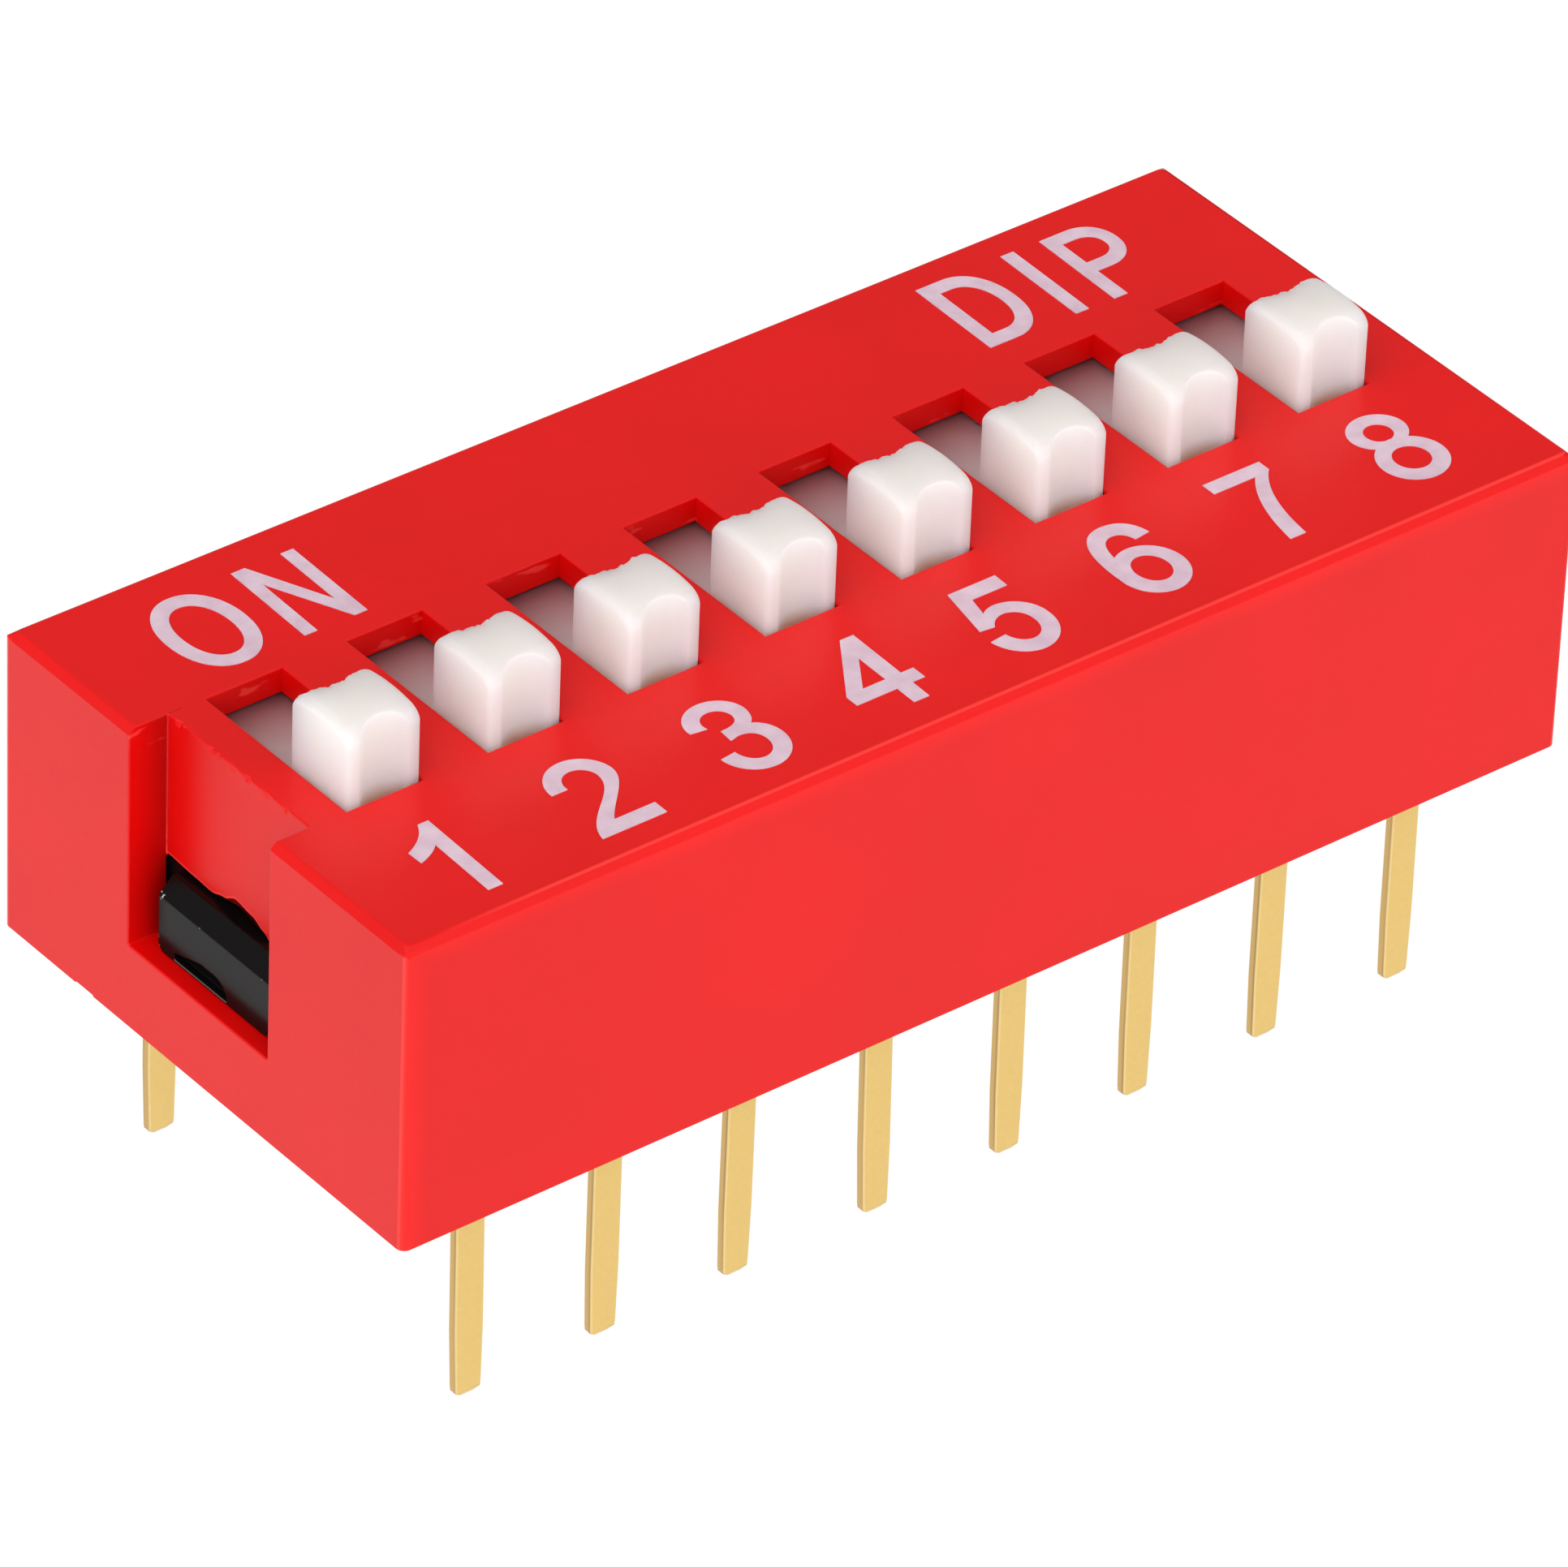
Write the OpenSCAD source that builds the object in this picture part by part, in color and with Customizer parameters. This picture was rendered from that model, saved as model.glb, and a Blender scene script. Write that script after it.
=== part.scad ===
// Slide DIP switch for through-hole boards, in millimetres.
// Frame: +X runs from position 1 to the last position, -Y is the numbered (OFF) side,
// +Y is the ON side and +Z points away from the board. The origin is the centre of the
// pin grid on the seating plane, which is the underside of the cover and of the base.

/* [Array] */
// Number of switch positions
ways = 8; // [2:1:12]
// Distance between neighbouring positions
pitch = 2.54; // [2.5:0.01:2.6]
// Distance between the two rows of pins
row_gap = 7.62; // [7.5:0.01:7.75]

/* [Cover] */
// Height of the cover above the seating plane
cover_h = 5.32; // [5.2:0.01:5.8]
// Width of the cover at its lower rim
cover_w = 9.9; // [9.8:0.05:10.6]
// How far each long side leans in from the rim to the top
cover_draft = 0.05; // [0:0.01:0.1]
// Plastic beyond the first and last pitch cells
end_margin = 0.78; // [0.77:0.01:0.95]
// Thickness of the roof
roof_t = 0.44; // [0.35:0.01:0.5]
// Thickness of the long walls
side_wall = 0.75; // [0.6:0.01:0.8]
// Thickness of the end walls
end_wall = 0.7; // [0.6:0.01:0.75]
// Chamfer round the top edge
top_chamfer = 0.12; // [0.04:0.01:0.15]
// Radius of the four upright corners
corner_r = 0.15; // [0.05:0.01:0.3]

/* [Windows] */
// Width of each window, along X
window_w = 1.37; // [1.2:0.01:1.45]
// Length of each window, along Y
window_l = 3.44; // [3.2:0.02:3.6]
// Offset of the windows, channel and latch towards the ON side
window_shift = 0.08; // [0:0.01:0.1]

/* [End channel] */
// Width of the open channel in the -X end
channel_w = 3.44; // [3.2:0.02:3.6]
// Thickness of the wall behind the channel
channel_wall = 0.33; // [0.3:0.01:0.38]
// Gap between that wall and the outermost flange
channel_gap = 0.05; // [0.03:0.01:0.08]
// Height of the sill under the channel
sill_h = 1.46; // [1.3:0.01:1.6]
// Gap between the latch and the sill below it
latch_gap = 0.02; // [0.01:0.01:0.04]
// Gap between the latch and the wall that stands over it
lintel_gap = 0.1; // [0.06:0.01:0.2]
// Width of the shallow gate notch in the rim of the same end
gate_w = 0.46; // [0.3:0.01:0.6]
// Height of the gate notch
gate_h = 0.1; // [0.05:0.01:0.12]
// Depth of the gate notch
gate_d = 0.02; // [0.01:0.01:0.12]
// Distance of the gate notch from the middle of the end
gate_y = 2.88; // [2.6:0.02:3.2]

/* [Latch] */
// Width of the latch on the -X end of the base
latch_w = 2.74; // [2.4:0.02:3.0]
// Distance of the latch's front face behind the end face
latch_back = 0.29; // [0.25:0.01:0.35]
// Height of the latch's upright front face
latch_face = 0.98; // [0.85:0.01:1.0]
// Run and rise of the lead-in slope above the front face
latch_lead = 0.26; // [0.15:0.01:0.3]
// Chamfer at the lower corners of the latch
latch_corner = 0.1; // [0.05:0.01:0.15]
// Length of the recess in the latch face
recess_l = 1.28; // [1:0.01:1.4]
// Height of the recess at its round end, which is also the radius of that end
recess_h = 0.3; // [0.2:0.01:0.35]
// Height of the recess at its square end
recess_low = 0.12; // [0.05:0.01:0.2]
// Depth of the recess
recess_d = 0.14; // [0.05:0.01:0.2]
// Offset of the recess along the latch
recess_y = 0.32; // [0:0.01:0.35]
// Thickness of the lip left under the recess
recess_lip = 0.04; // [0.03:0.01:0.08]

/* [Tongue] */
// Width of the fixed tongue on the +X end of the base
tongue_w = 3; // [2:0.1:4]
// Height of the tongue
tongue_h = 0.8; // [0.5:0.05:1.2]
// How far the tongue stands into the end wall
tongue_d = 0.3; // [0.2:0.01:0.35]
// Gap at the tip and the sides of the tongue in its pocket
tongue_gap = 0.04; // [0.02:0.01:0.06]

/* [Base] */
// Height of the base floor that carries the contact pads
floor_h = 3; // [2.9:0.01:3.1]
// Least plastic of the base outside each row of pins
pin_wall = 0.1; // [0.08:0.01:0.2]
// Gap between the base and the inside of the cover
fit_gap = 0.05; // [0.03:0.01:0.08]
// Width of the ribs between the positions
rib_w = 0.5; // [0.49:0.01:0.6]
// Length of the ribs
rib_l = 8.1; // [6.5:0.1:8.2]
// Gap between the ribs and the roof
rib_gap = 0.06; // [0.04:0.01:0.1]

/* [Actuators] */
// Length of the knob, along Y
knob_l = 1.41; // [1.3:0.01:1.6]
// Gap on each side of the knob in its window
knob_gap = 0.025; // [0.015:0.005:0.05]
// Gap left at each end of the travel
stop_gap = 0.02; // [0.01:0.01:0.05]
// Height of the knob above the cover
knob_h = 1.33; // [1:0.01:1.5]
// Radius of the crown along the knob's top
crown_r = 2.7; // [1.8:0.05:3.2]
// Radius of the fillet between the crown and the knob's end faces
knob_edge_r = 0.3; // [0.2:0.01:0.45]
// Radius of the knob's upright corners
knob_corner_r = 0.09; // [0.02:0.01:0.12]
// Width of the finger scoop in each end face
scoop_w = 0.8; // [0.6:0.02:0.9]
// Depth of the finger scoop
scoop_d = 0.22; // [0.1:0.01:0.25]
// Gap between the flange and the long wall at the ON end of the travel
flange_end_gap = 0.2; // [0.05:0.01:0.3]
// Thickness of the flange
flange_t = 0.6; // [0.5:0.01:0.7]
// Gap over and beside the flange
slide_gap = 0.04; // [0.03:0.01:0.06]
// Radius of the boss that carries the contact spring
boss_r = 0.24; // [0.2:0.01:0.28]
// Radius of the boss's staked head
head_r = 0.32; // [0.28:0.01:0.34]
// Height of the staked head
head_h = 0.12; // [0.08:0.01:0.2]

/* [Contact springs] */
// Thickness of the spring strip
spring_t = 0.12; // [0.08:0.01:0.15]
// Width of the spring strip
spring_w = 1.1; // [0.9:0.02:1.3]
// Half length of the flat web under the flange
web_l = 0.42; // [0.38:0.01:0.5]
// Distance of each contact point from the middle of the spring
reach = 1.15; // [1:0.01:1.25]
// Rise of the turned-up tips
tip_rise = 0.3; // [0.2:0.01:0.4]
// Length of the flat at each contact point
foot_l = 0.16; // [0.1:0.01:0.24]
// Gap kept between the spring and the pads
contact_gap = 0.02; // [0.01:0.01:0.05]

/* [Terminals] */
// Width of each pin
leg_w = 0.51; // [0.4:0.01:0.6]
// Thickness of the terminal strip
leg_t = 0.18; // [0.15:0.01:0.25]
// Length of each pin below the seating plane
leg_len = 4.19; // [3:0.01:4.5]
// Width of the contact pad on the floor
pad_w = 1.3; // [1.1:0.02:1.5]
// Inner end of the pads of the numbered side, as a Y position
pad_off_end = 0.5; // [0.45:0.01:0.6]
// Inner end of the pads of the ON side, as a Y position
pad_on_end = 1.3; // [1.2:0.01:1.5]
// Outer radius of the bend from pad to pin
bend_r = 0.35; // [0.25:0.01:0.4]
// How much the pin narrows towards its tip, on each side
leg_taper = 0.03; // [0:0.005:0.05]
// Length of the narrowing part
taper_l = 1.2; // [0.5:0.05:1.5]
// Chamfer round the pin's tip
tip_chamfer = 0.07; // [0.03:0.01:0.09]
// Gap round a terminal in the base
insert_gap = 0.005; // [0.005:0.005:0.02]

/* [Hidden] */
$fn = 64;
EPS = 0.01;
// Cover and its hollow, as half sizes from the middle
cover_l = ways * pitch + 2 * end_margin;
top_w = cover_w - 2 * cover_draft;
roof_z = cover_h - roof_t;
row_y = row_gap / 2;
inner_x = cover_l / 2 - end_wall;
inner_y = max(cover_w / 2 - side_wall, row_y + leg_t / 2 + pin_wall + fit_gap);
// Knobs and flanges at rest
window_y0 = window_shift - window_l / 2;
knob_w = window_w - 2 * knob_gap;
rest_y = window_y0 + stop_gap + knob_l / 2;
travel = window_l - knob_l - 2 * stop_gap;
flange_z = roof_z - slide_gap - flange_t;
flange_w = pitch - rib_w - 2 * slide_gap;
flange_l = 2 * (inner_y - flange_end_gap - window_shift - travel / 2);
// Wall behind the channel, on the inside and on the outside
bump_x = (ways - 1) / 2 * pitch + flange_w / 2 + channel_gap;
bump_w = channel_w + 2 * channel_wall;
channel_x = bump_x + channel_wall;
// Base, latch and tongue
base_x = inner_x - fit_gap;
base_y = inner_y - fit_gap;
base_short_x = bump_x - fit_gap;
rib_top = roof_z - rib_gap;
latch_x = cover_l / 2 - latch_back;
latch_z = sill_h + latch_gap;
latch_top = latch_z + latch_face + latch_lead;
lintel_z = latch_top + lintel_gap;
tongue_x = inner_x + tongue_d;
// Contact springs
boss_hole_r = boss_r + insert_gap;
web_z = flange_z - insert_gap - spring_t;

// X position of switch position k
function way_x(k) = (k - (ways + 1) / 2) * pitch;

// Radius of the arc that rises h over a chord c
function arc_radius(c, h) = (c * c / 4 + h * h) / (2 * h);

// A block from corner a to corner b
module block(a, b) {
    translate(a) cube(b - a);
}

// A flat profile drawn as (Y, Z), extruded from x = x0 to x1
module along_x(x0, x1) {
    translate([x0, 0, 0]) rotate([90, 0, 90]) linear_extrude(x1 - x0) children();
}

// A flat profile drawn as (X, Z), extruded from y = y0 to y1
module along_y(y0, y1) {
    translate([0, y1, 0]) rotate([90, 0, 0]) linear_extrude(y1 - y0) children();
}

// A plain rectangle with rounded corners, centred
module round_rect(size, r) {
    square([size.x, size.y - 2 * r], center = true);
    square([size.x - 2 * r, size.y], center = true);
    for (x = [-1, 1], y = [-1, 1])
        translate([x * (size.x / 2 - r), y * (size.y / 2 - r)]) circle(r);
}

// ---- cover ----

// Half of a chamfered outline, half width b at the foot and t at the top
module lid_profile(b, t) {
    polygon([
        [-b, 0], [b, 0], [t, cover_h - top_chamfer], [t - top_chamfer, cover_h],
        [-t + top_chamfer, cover_h], [-t, cover_h - top_chamfer]
    ]);
}

module cover_outside() {
    intersection() {
        linear_extrude(cover_h) round_rect([cover_l, cover_w], corner_r);
        along_x(-cover_l / 2, cover_l / 2) lid_profile(cover_w / 2, top_w / 2);
        along_y(-cover_w / 2, cover_w / 2) lid_profile(cover_l / 2, cover_l / 2);
    }
}

// Hollow of the cover, less the wall that stands behind the channel
module cover_inside() {
    difference() {
        block([-inner_x, -inner_y, -EPS], [inner_x, inner_y, roof_z]);
        block([-inner_x - EPS, window_shift - bump_w / 2, lintel_z],
              [-bump_x, window_shift + bump_w / 2, roof_z + EPS]);
    }
    tongue_pocket();
}

// Blind pocket inside the +X end wall, level with the sill of the other end
module tongue_pocket() {
    half = tongue_w / 2 + tongue_gap;
    block([inner_x - EPS, window_shift - half, sill_h],
          [tongue_x + tongue_gap, window_shift + half, latch_z + tongue_h + lintel_gap]);
}

// Open channel in the -X end face, with the latch window below its back wall
module end_channel() {
    block([-cover_l / 2 - EPS, window_shift - channel_w / 2, sill_h],
          [-channel_x, window_shift + channel_w / 2, cover_h + EPS]);
    block([-cover_l / 2 - EPS, window_shift - channel_w / 2, sill_h],
          [-inner_x + EPS, window_shift + channel_w / 2, lintel_z]);
}

module cover() {
    color("#e02524")
    difference() {
        cover_outside();
        cover_inside();
        for (k = [1:ways])
            translate([way_x(k), window_shift, roof_z - EPS])
                linear_extrude(roof_t + 2 * EPS) square([window_w, window_l], center = true);
        end_channel();
        along_x(-cover_l / 2 - EPS, -cover_l / 2 + gate_d)
            translate([gate_y, gate_h - arc_radius(gate_w, gate_h)]) circle(arc_radius(gate_w, gate_h));
    }
}

// ---- base ----

// Latch at the -X end: flat underneath, upright face, lead-in slope above
module latch() {
    y0 = window_shift - latch_w / 2;
    y1 = window_shift + latch_w / 2;
    difference() {
        intersection() {
            along_y(y0, y1)
                polygon([
                    [-base_x + EPS, latch_z], [-latch_x, latch_z],
                    [-latch_x, latch_z + latch_face], [-latch_x + latch_lead, latch_top],
                    [-base_x + EPS, latch_top]
                ]);
            along_x(-latch_x - EPS, -base_x + 2 * EPS)
                polygon([
                    [y0 + latch_corner, latch_z], [y1 - latch_corner, latch_z],
                    [y1, latch_z + latch_corner], [y1, latch_top + EPS],
                    [y0, latch_top + EPS], [y0, latch_z + latch_corner]
                ]);
        }
        latch_recess();
    }
}

// Recess over a thin lip, the mark of the latch's gate: square at the ON end, round at the other
module latch_recess() {
    half = recess_l / 2;
    along_x(-latch_x - EPS, -latch_x + recess_d)
        translate([window_shift + recess_y, latch_z + recess_lip])
            polygon(concat(
                [[half, 0], [half, recess_low], [0, recess_h]],
                [for (a = [90:15:180]) recess_h * [cos(a), sin(a)] + [recess_h - half, 0]]
            ));
}

// Floor and ribs, cut back at the -X end for the wall behind the channel
module base_body() {
    difference() {
        union() {
            block([-base_x, -base_y, 0], [base_x, base_y, floor_h]);
            intersection() {
                block([-base_x, -rib_l / 2, floor_h - EPS], [base_x, rib_l / 2, rib_top]);
                for (k = [0:ways])
                    translate([way_x(k) + pitch / 2, 0, 0])
                        block([-rib_w / 2, -base_y, 0], [rib_w / 2, base_y, cover_h]);
            }
        }
        block([-base_x - EPS, window_shift - bump_w / 2 - fit_gap, latch_top],
              [-base_short_x, window_shift + bump_w / 2 + fit_gap, cover_h]);
    }
}

// Tongue at the +X end: flat underneath, with its upper edge sloped to tip into the pocket
module tongue() {
    slope = tongue_x - base_x;
    along_y(window_shift - tongue_w / 2, window_shift + tongue_w / 2)
        polygon([
            [base_x - EPS, latch_z], [tongue_x, latch_z],
            [tongue_x, latch_z + tongue_h - slope], [base_x, latch_z + tongue_h],
            [base_x - EPS, latch_z + tongue_h]
        ]);
}

module base() {
    color("#232120")
    difference() {
        union() {
            base_body();
            latch();
            tongue();
        }
        for (k = [1:ways]) {
            terminal_at(k, -1, pad_off_end, insert_gap);
            terminal_at(k, 1, pad_on_end, insert_gap);
        }
    }
}

// ---- actuators ----

// Side view of the knob: crown, a fillet tangent to it at each end, and upright end faces
module knob_side() {
    top = cover_h + knob_h;
    fillet_y = knob_l / 2 - knob_edge_r;
    fillet_z = sqrt(pow(crown_r - knob_edge_r, 2) - fillet_y * fillet_y);
    // Along the line from the crown's centre through a fillet's centre
    reach_out = crown_r / (crown_r - knob_edge_r) * 1.2;
    difference() {
        intersection() {
            translate([0, top - crown_r]) circle(crown_r, $fn = 240);
            translate([-knob_l / 2, flange_z]) square([knob_l, top - flange_z]);
        }
        for (s = [-1, 1])
            translate([0, top - crown_r])
                difference() {
                    polygon([
                        [s * fillet_y, fillet_z], [s * knob_l, fillet_z],
                        [s * knob_l, crown_r * 1.2],
                        [s * fillet_y * reach_out, fillet_z * reach_out]
                    ]);
                    translate([s * fillet_y, fillet_z]) circle(knob_edge_r);
                }
    }
}

// Plan view of the knob: rounded corners and a finger scoop in each end face
module knob_plan() {
    scoop_r = arc_radius(scoop_w, scoop_d);
    difference() {
        round_rect([knob_w, knob_l], knob_corner_r);
        for (s = [-1, 1])
            translate([0, s * (knob_l / 2 - scoop_d + scoop_r)]) circle(scoop_r, $fn = 96);
    }
}

module actuator(k) {
    color("#ebe7e2")
    translate([way_x(k), rest_y, 0]) {
        intersection() {
            along_x(-knob_w / 2, knob_w / 2) knob_side();
            translate([0, 0, flange_z + flange_t - EPS])
                linear_extrude(cover_h + knob_h - flange_z) knob_plan();
        }
        block([-flange_w / 2, -flange_l / 2, flange_z], [flange_w / 2, flange_l / 2, flange_z + flange_t]);
        translate([0, 0, web_z - insert_gap]) {
            cylinder(h = flange_z - web_z + insert_gap + EPS, r = boss_r);
            translate([0, 0, -head_h]) cylinder(h = head_h, r = head_r);
        }
    }
}

// ---- contact springs ----

// Centre line of one half of the spring, from its middle outwards
function half_path() = let (
    low = floor_h + contact_gap + spring_t / 2,
    high = web_z + spring_t / 2
) [
    [web_l, high], [reach - foot_l / 2, low], [reach + foot_l / 2, low],
    [reach + foot_l / 2 + tip_rise / 2, low + tip_rise]
];

// Centre line of the whole spring, from one tip to the other
function spring_path() = let (half = half_path(), n = len(half) - 1) concat(
    [for (i = [n:-1:0]) [-half[i].x, half[i].y]], half
);

// Unit normal of the step from a to b, on its upper side
function step_normal(a, b) = let (d = (b - a) / norm(b - a)) [-d.y, d.x];

// Corner offset of a bent strip: the mitre of the two steps that meet at point i
function mitre(p, i) = let (
    n0 = step_normal(p[max(i - 1, 0)], p[max(i, 1)]),
    n1 = step_normal(p[min(i, len(p) - 2)], p[min(i + 1, len(p) - 1)])
) (n0 + n1) / (1 + n0 * n1);

// A strip of thickness t about the open path p
module strip(p, t) {
    n = len(p) - 1;
    polygon(concat(
        [for (i = [0:n]) p[i] + mitre(p, i) * t / 2],
        [for (i = [n:-1:0]) p[i] - mitre(p, i) * t / 2]
    ));
}

module contact(k) {
    color("#d8b160")
    translate([way_x(k), rest_y, 0])
        difference() {
            along_x(-spring_w / 2, spring_w / 2) strip(spring_path(), spring_t);
            cylinder(h = flange_z, r = boss_hole_r);
        }
}

// ---- terminals ----

// Outline of a pin seen from the front, from its tip up to z = top
module leg_outline(half_w, top) {
    tip_w = half_w - leg_taper;
    polygon([
        [-tip_w + tip_chamfer, -leg_len], [tip_w - tip_chamfer, -leg_len],
        [tip_w, -leg_len + tip_chamfer], [half_w, -leg_len + taper_l],
        [half_w, top], [-half_w, top], [-half_w, -leg_len + taper_l],
        [-tip_w, -leg_len + tip_chamfer]
    ]);
}

// Side view of the strip: pad on the floor, bend and pin, grown by g
module terminal_side(inner, g) {
    outer = row_y + leg_t / 2;
    difference() {
        union() {
            translate([inner - g, floor_h - leg_t - g])
                square([outer - bend_r - inner + g, leg_t + 2 * g]);
            translate([row_y - leg_t / 2 - g, -leg_len])
                square([leg_t + 2 * g, leg_len + floor_h - bend_r]);
            translate([outer - bend_r, floor_h - bend_r]) intersection() {
                circle(bend_r + g);
                square(bend_r + g);
            }
        }
        translate([outer - bend_r, floor_h - bend_r]) intersection() {
            circle(bend_r - leg_t - g);
            translate([-EPS, -EPS]) square(bend_r);
        }
    }
}

// Terminal on the +Y side at x = 0: a wide pad, then a narrow neck, bend and pin
module terminal(inner, g) {
    intersection() {
        along_x(-leg_w / 2 - g, leg_w / 2 + g) terminal_side(inner, g);
        along_y(-EPS, row_y + leg_t) leg_outline(leg_w / 2 + g, floor_h + g);
    }
    block([-pad_w / 2 - g, inner - g, floor_h - leg_t - g],
          [pad_w / 2 + g, row_y - bend_r - leg_t, floor_h + g]);
}

// The same at position k: side is -1 for the numbered row and 1 for the ON row
module terminal_at(k, side, pad_end, g) {
    translate([way_x(k), 0, 0])
        if (side > 0) terminal(pad_end, g);
        else mirror([0, 1, 0]) terminal(-pad_end, g);
}

module pin_off(k) {
    color("#dcb768") terminal_at(k, -1, pad_off_end, 0);
}

module pin_on(k) {
    color("#dcb768") terminal_at(k, 1, pad_on_end, 0);
}

cover();
base();
for (k = [1:ways]) {
    actuator(k);
    contact(k);
    pin_off(k);
    pin_on(k);
}
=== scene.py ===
import math

import bmesh
import bpy
import numpy as np
from bpy.props import FloatProperty, FloatVectorProperty, PointerProperty
from mathutils.geometry import delaunay_2d_cdt
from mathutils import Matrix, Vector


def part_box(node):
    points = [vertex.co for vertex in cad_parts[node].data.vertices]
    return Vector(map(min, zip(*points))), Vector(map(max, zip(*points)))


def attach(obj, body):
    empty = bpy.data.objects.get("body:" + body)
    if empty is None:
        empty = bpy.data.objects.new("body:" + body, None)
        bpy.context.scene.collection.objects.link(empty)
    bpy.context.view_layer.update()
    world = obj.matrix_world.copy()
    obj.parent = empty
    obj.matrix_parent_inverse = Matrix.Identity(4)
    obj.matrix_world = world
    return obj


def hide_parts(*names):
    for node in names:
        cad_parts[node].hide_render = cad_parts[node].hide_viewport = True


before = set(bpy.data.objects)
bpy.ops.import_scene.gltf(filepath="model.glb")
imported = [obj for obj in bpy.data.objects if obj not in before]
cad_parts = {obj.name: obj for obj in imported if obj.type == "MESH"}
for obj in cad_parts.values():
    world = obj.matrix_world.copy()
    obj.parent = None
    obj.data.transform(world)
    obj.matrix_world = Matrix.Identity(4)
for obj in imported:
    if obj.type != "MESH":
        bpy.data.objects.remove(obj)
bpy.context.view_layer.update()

bl_info = {
    "name": "DIP switch looks",
    "version": (1, 0, 0),
    "blender": (4, 5, 0),
    "location": "View3D > Sidebar > Switch",
    "description": "Dresses the solids of a slide DIP switch: moulded cover, knobs, plated pins and print",
    "category": "Object",
}

MM = 0.001
WAYS = range(1, 9)

# Places and sizes in millimetres, from the solids' boxes and then from the part's own sizes
LOW, HIGH = (np.array(c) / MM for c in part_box("cover"))
ROOF = HIGH[2]
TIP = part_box("pin_off_1")[0].z / MM
REST_Y = sum(c.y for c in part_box("actuator_1")) / 2 / MM
PITCH = 2.54
BEVEL = 0.12  # height of the bevel along the long top edges
SLOT_Y, SLOT_END = 0.08, 1.8  # middle and +Y end of the windows and of the end channel
WALL_X, LINTEL = -10.25, 2.82  # outer face and lower edge of the wall behind the channel
LATCH_X, LATCH_END = -10.65, 1.45  # face and +Y end of the latch
RIDGE = 2.46  # height where the latch's face turns into its slope
KNOB_X, KNOB_Y = 0.66, 0.705  # half a knob's width and length
END = 0.3  # rounding over a knob's end faces, as a share of that over its sides
FLANGE_TOP, FLANGE_T = 4.84, 0.6
BOSS_R, HEAD_R, HEAD_H = 0.24, 0.32, 0.12  # the stake that holds a knob's spring, and its head
SPRING_T = 0.13  # the spring between flange and head, with its gap
ROW_Y, LEG_W, LEG_T, PAD_W = 3.81, 0.51, 0.18, 1.3
PAD_TOP, BEND_R = 3.0, 0.35
TAPER_L, TAPER = 1.2, 0.03  # length of a pin's taper, and how much it takes off each side


def linear(code):
    """Turns an sRGB hex value into linear red, green and blue."""
    c = np.array([int(code[i : i + 2], 16) for i in (0, 2, 4)]) / 255
    return tuple(np.where(c <= 0.04045, c / 12.92, ((c + 0.055) / 1.055) ** 2.4))


# ---- sizes and colours a user would change ----


class SwitchSizes(bpy.types.PropertyGroup):
    """Sizes of the looks, in millimetres. The main sizes come from the solids."""

    rim: FloatProperty(
        name="Cover edge", description="Radius along the cover's moulded edges",
        default=0.03, min=0.005, max=0.06,
    )
    lintel_wave: FloatProperty(
        name="Lintel wave", description="How much the trimmed edge over the latch wanders",
        default=1.0, min=0.0, max=1.5,
    )
    knob_edge: FloatProperty(
        name="Knob edge", description="Radius between a knob's crown and its sides",
        default=0.14, min=0.02, max=0.2,
    )
    knob_corner: FloatProperty(
        name="Knob corner", description="Radius of a knob's upright corners", default=0.09, min=0.02, max=0.12
    )
    pin_edge: FloatProperty(
        name="Pin edge", description="Radius along the edges of a stamped pin",
        default=0.022, min=0.005, max=0.06,
    )
    ink: FloatProperty(
        name="Ink", description="Thickness of the printed ink film", default=0.012, min=0.004, max=0.03
    )


class SwitchColours(bpy.types.PropertyGroup):
    """Colours of the looks."""

    cover: FloatVectorProperty(
        name="Cover", description="Red of the cover", subtype="COLOR", size=3, default=linear("DF0302")
    )
    # Painted highlight: the paler red laid along some of the cover's edges.
    pale_edge: FloatVectorProperty(
        name="Pale edge highlight", description="Paler red of painted highlights along the cover's edges", subtype="COLOR", size=3,
        default=linear("FF4A42"),
    )
    base: FloatVectorProperty(
        name="Base", description="Black of the base", subtype="COLOR", size=3, default=linear("0C0A0A")
    )
    knob: FloatVectorProperty(
        name="Knob", description="White of the knobs", subtype="COLOR", size=3, default=linear("F2F0E8")
    )
    ink: FloatVectorProperty(
        name="Ink", description="Pale lilac of the print", subtype="COLOR", size=3, default=linear("DCC3D0")
    )
    gold: FloatVectorProperty(
        name="Gold", description="Plating of the pins", subtype="COLOR", size=3, default=linear("EAC87C")
    )


# ---- small helpers ----


def rgba(colour):
    """A linear colour, or an sRGB hex value turned linear, with alpha 1."""
    return (*(linear(colour) if isinstance(colour, str) else colour), 1.0)


def add(tree, kind, inputs=(), **settings):
    """Adds a shader node, sets its settings, and fills its inputs, by name or in order. An input takes a
    value, a link from a socket, or a link from another node's first output."""
    made = tree.nodes.new("ShaderNode" + kind)
    for name, value in settings.items():
        setattr(made, name, value)
    for name, value in inputs.items() if isinstance(inputs, dict) else enumerate(inputs):
        if isinstance(value, bpy.types.Node):
            value = value.outputs[0]
        if isinstance(value, bpy.types.NodeSocket):
            tree.links.new(value, made.inputs[name])
        else:
            made.inputs[name].default_value = value
    return made


def new_material(name):
    """An empty node material and its tree."""
    m = bpy.data.materials.new(name)
    m.use_nodes = True
    m.node_tree.nodes.clear()
    return m, m.node_tree


def as_piece(name, mesh, materials, body, slot, stands_for=()):
    """Makes a mesh a piece of the switch: its materials, what it rides on and which solids it stands for."""
    for material in materials:
        mesh.materials.append(material)
    mesh.shade_smooth()
    piece = bpy.data.objects.new(name, mesh)
    bpy.context.scene.collection.objects.link(piece)
    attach(piece, body)
    if stands_for:
        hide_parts(*stands_for)
    return piece


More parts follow.
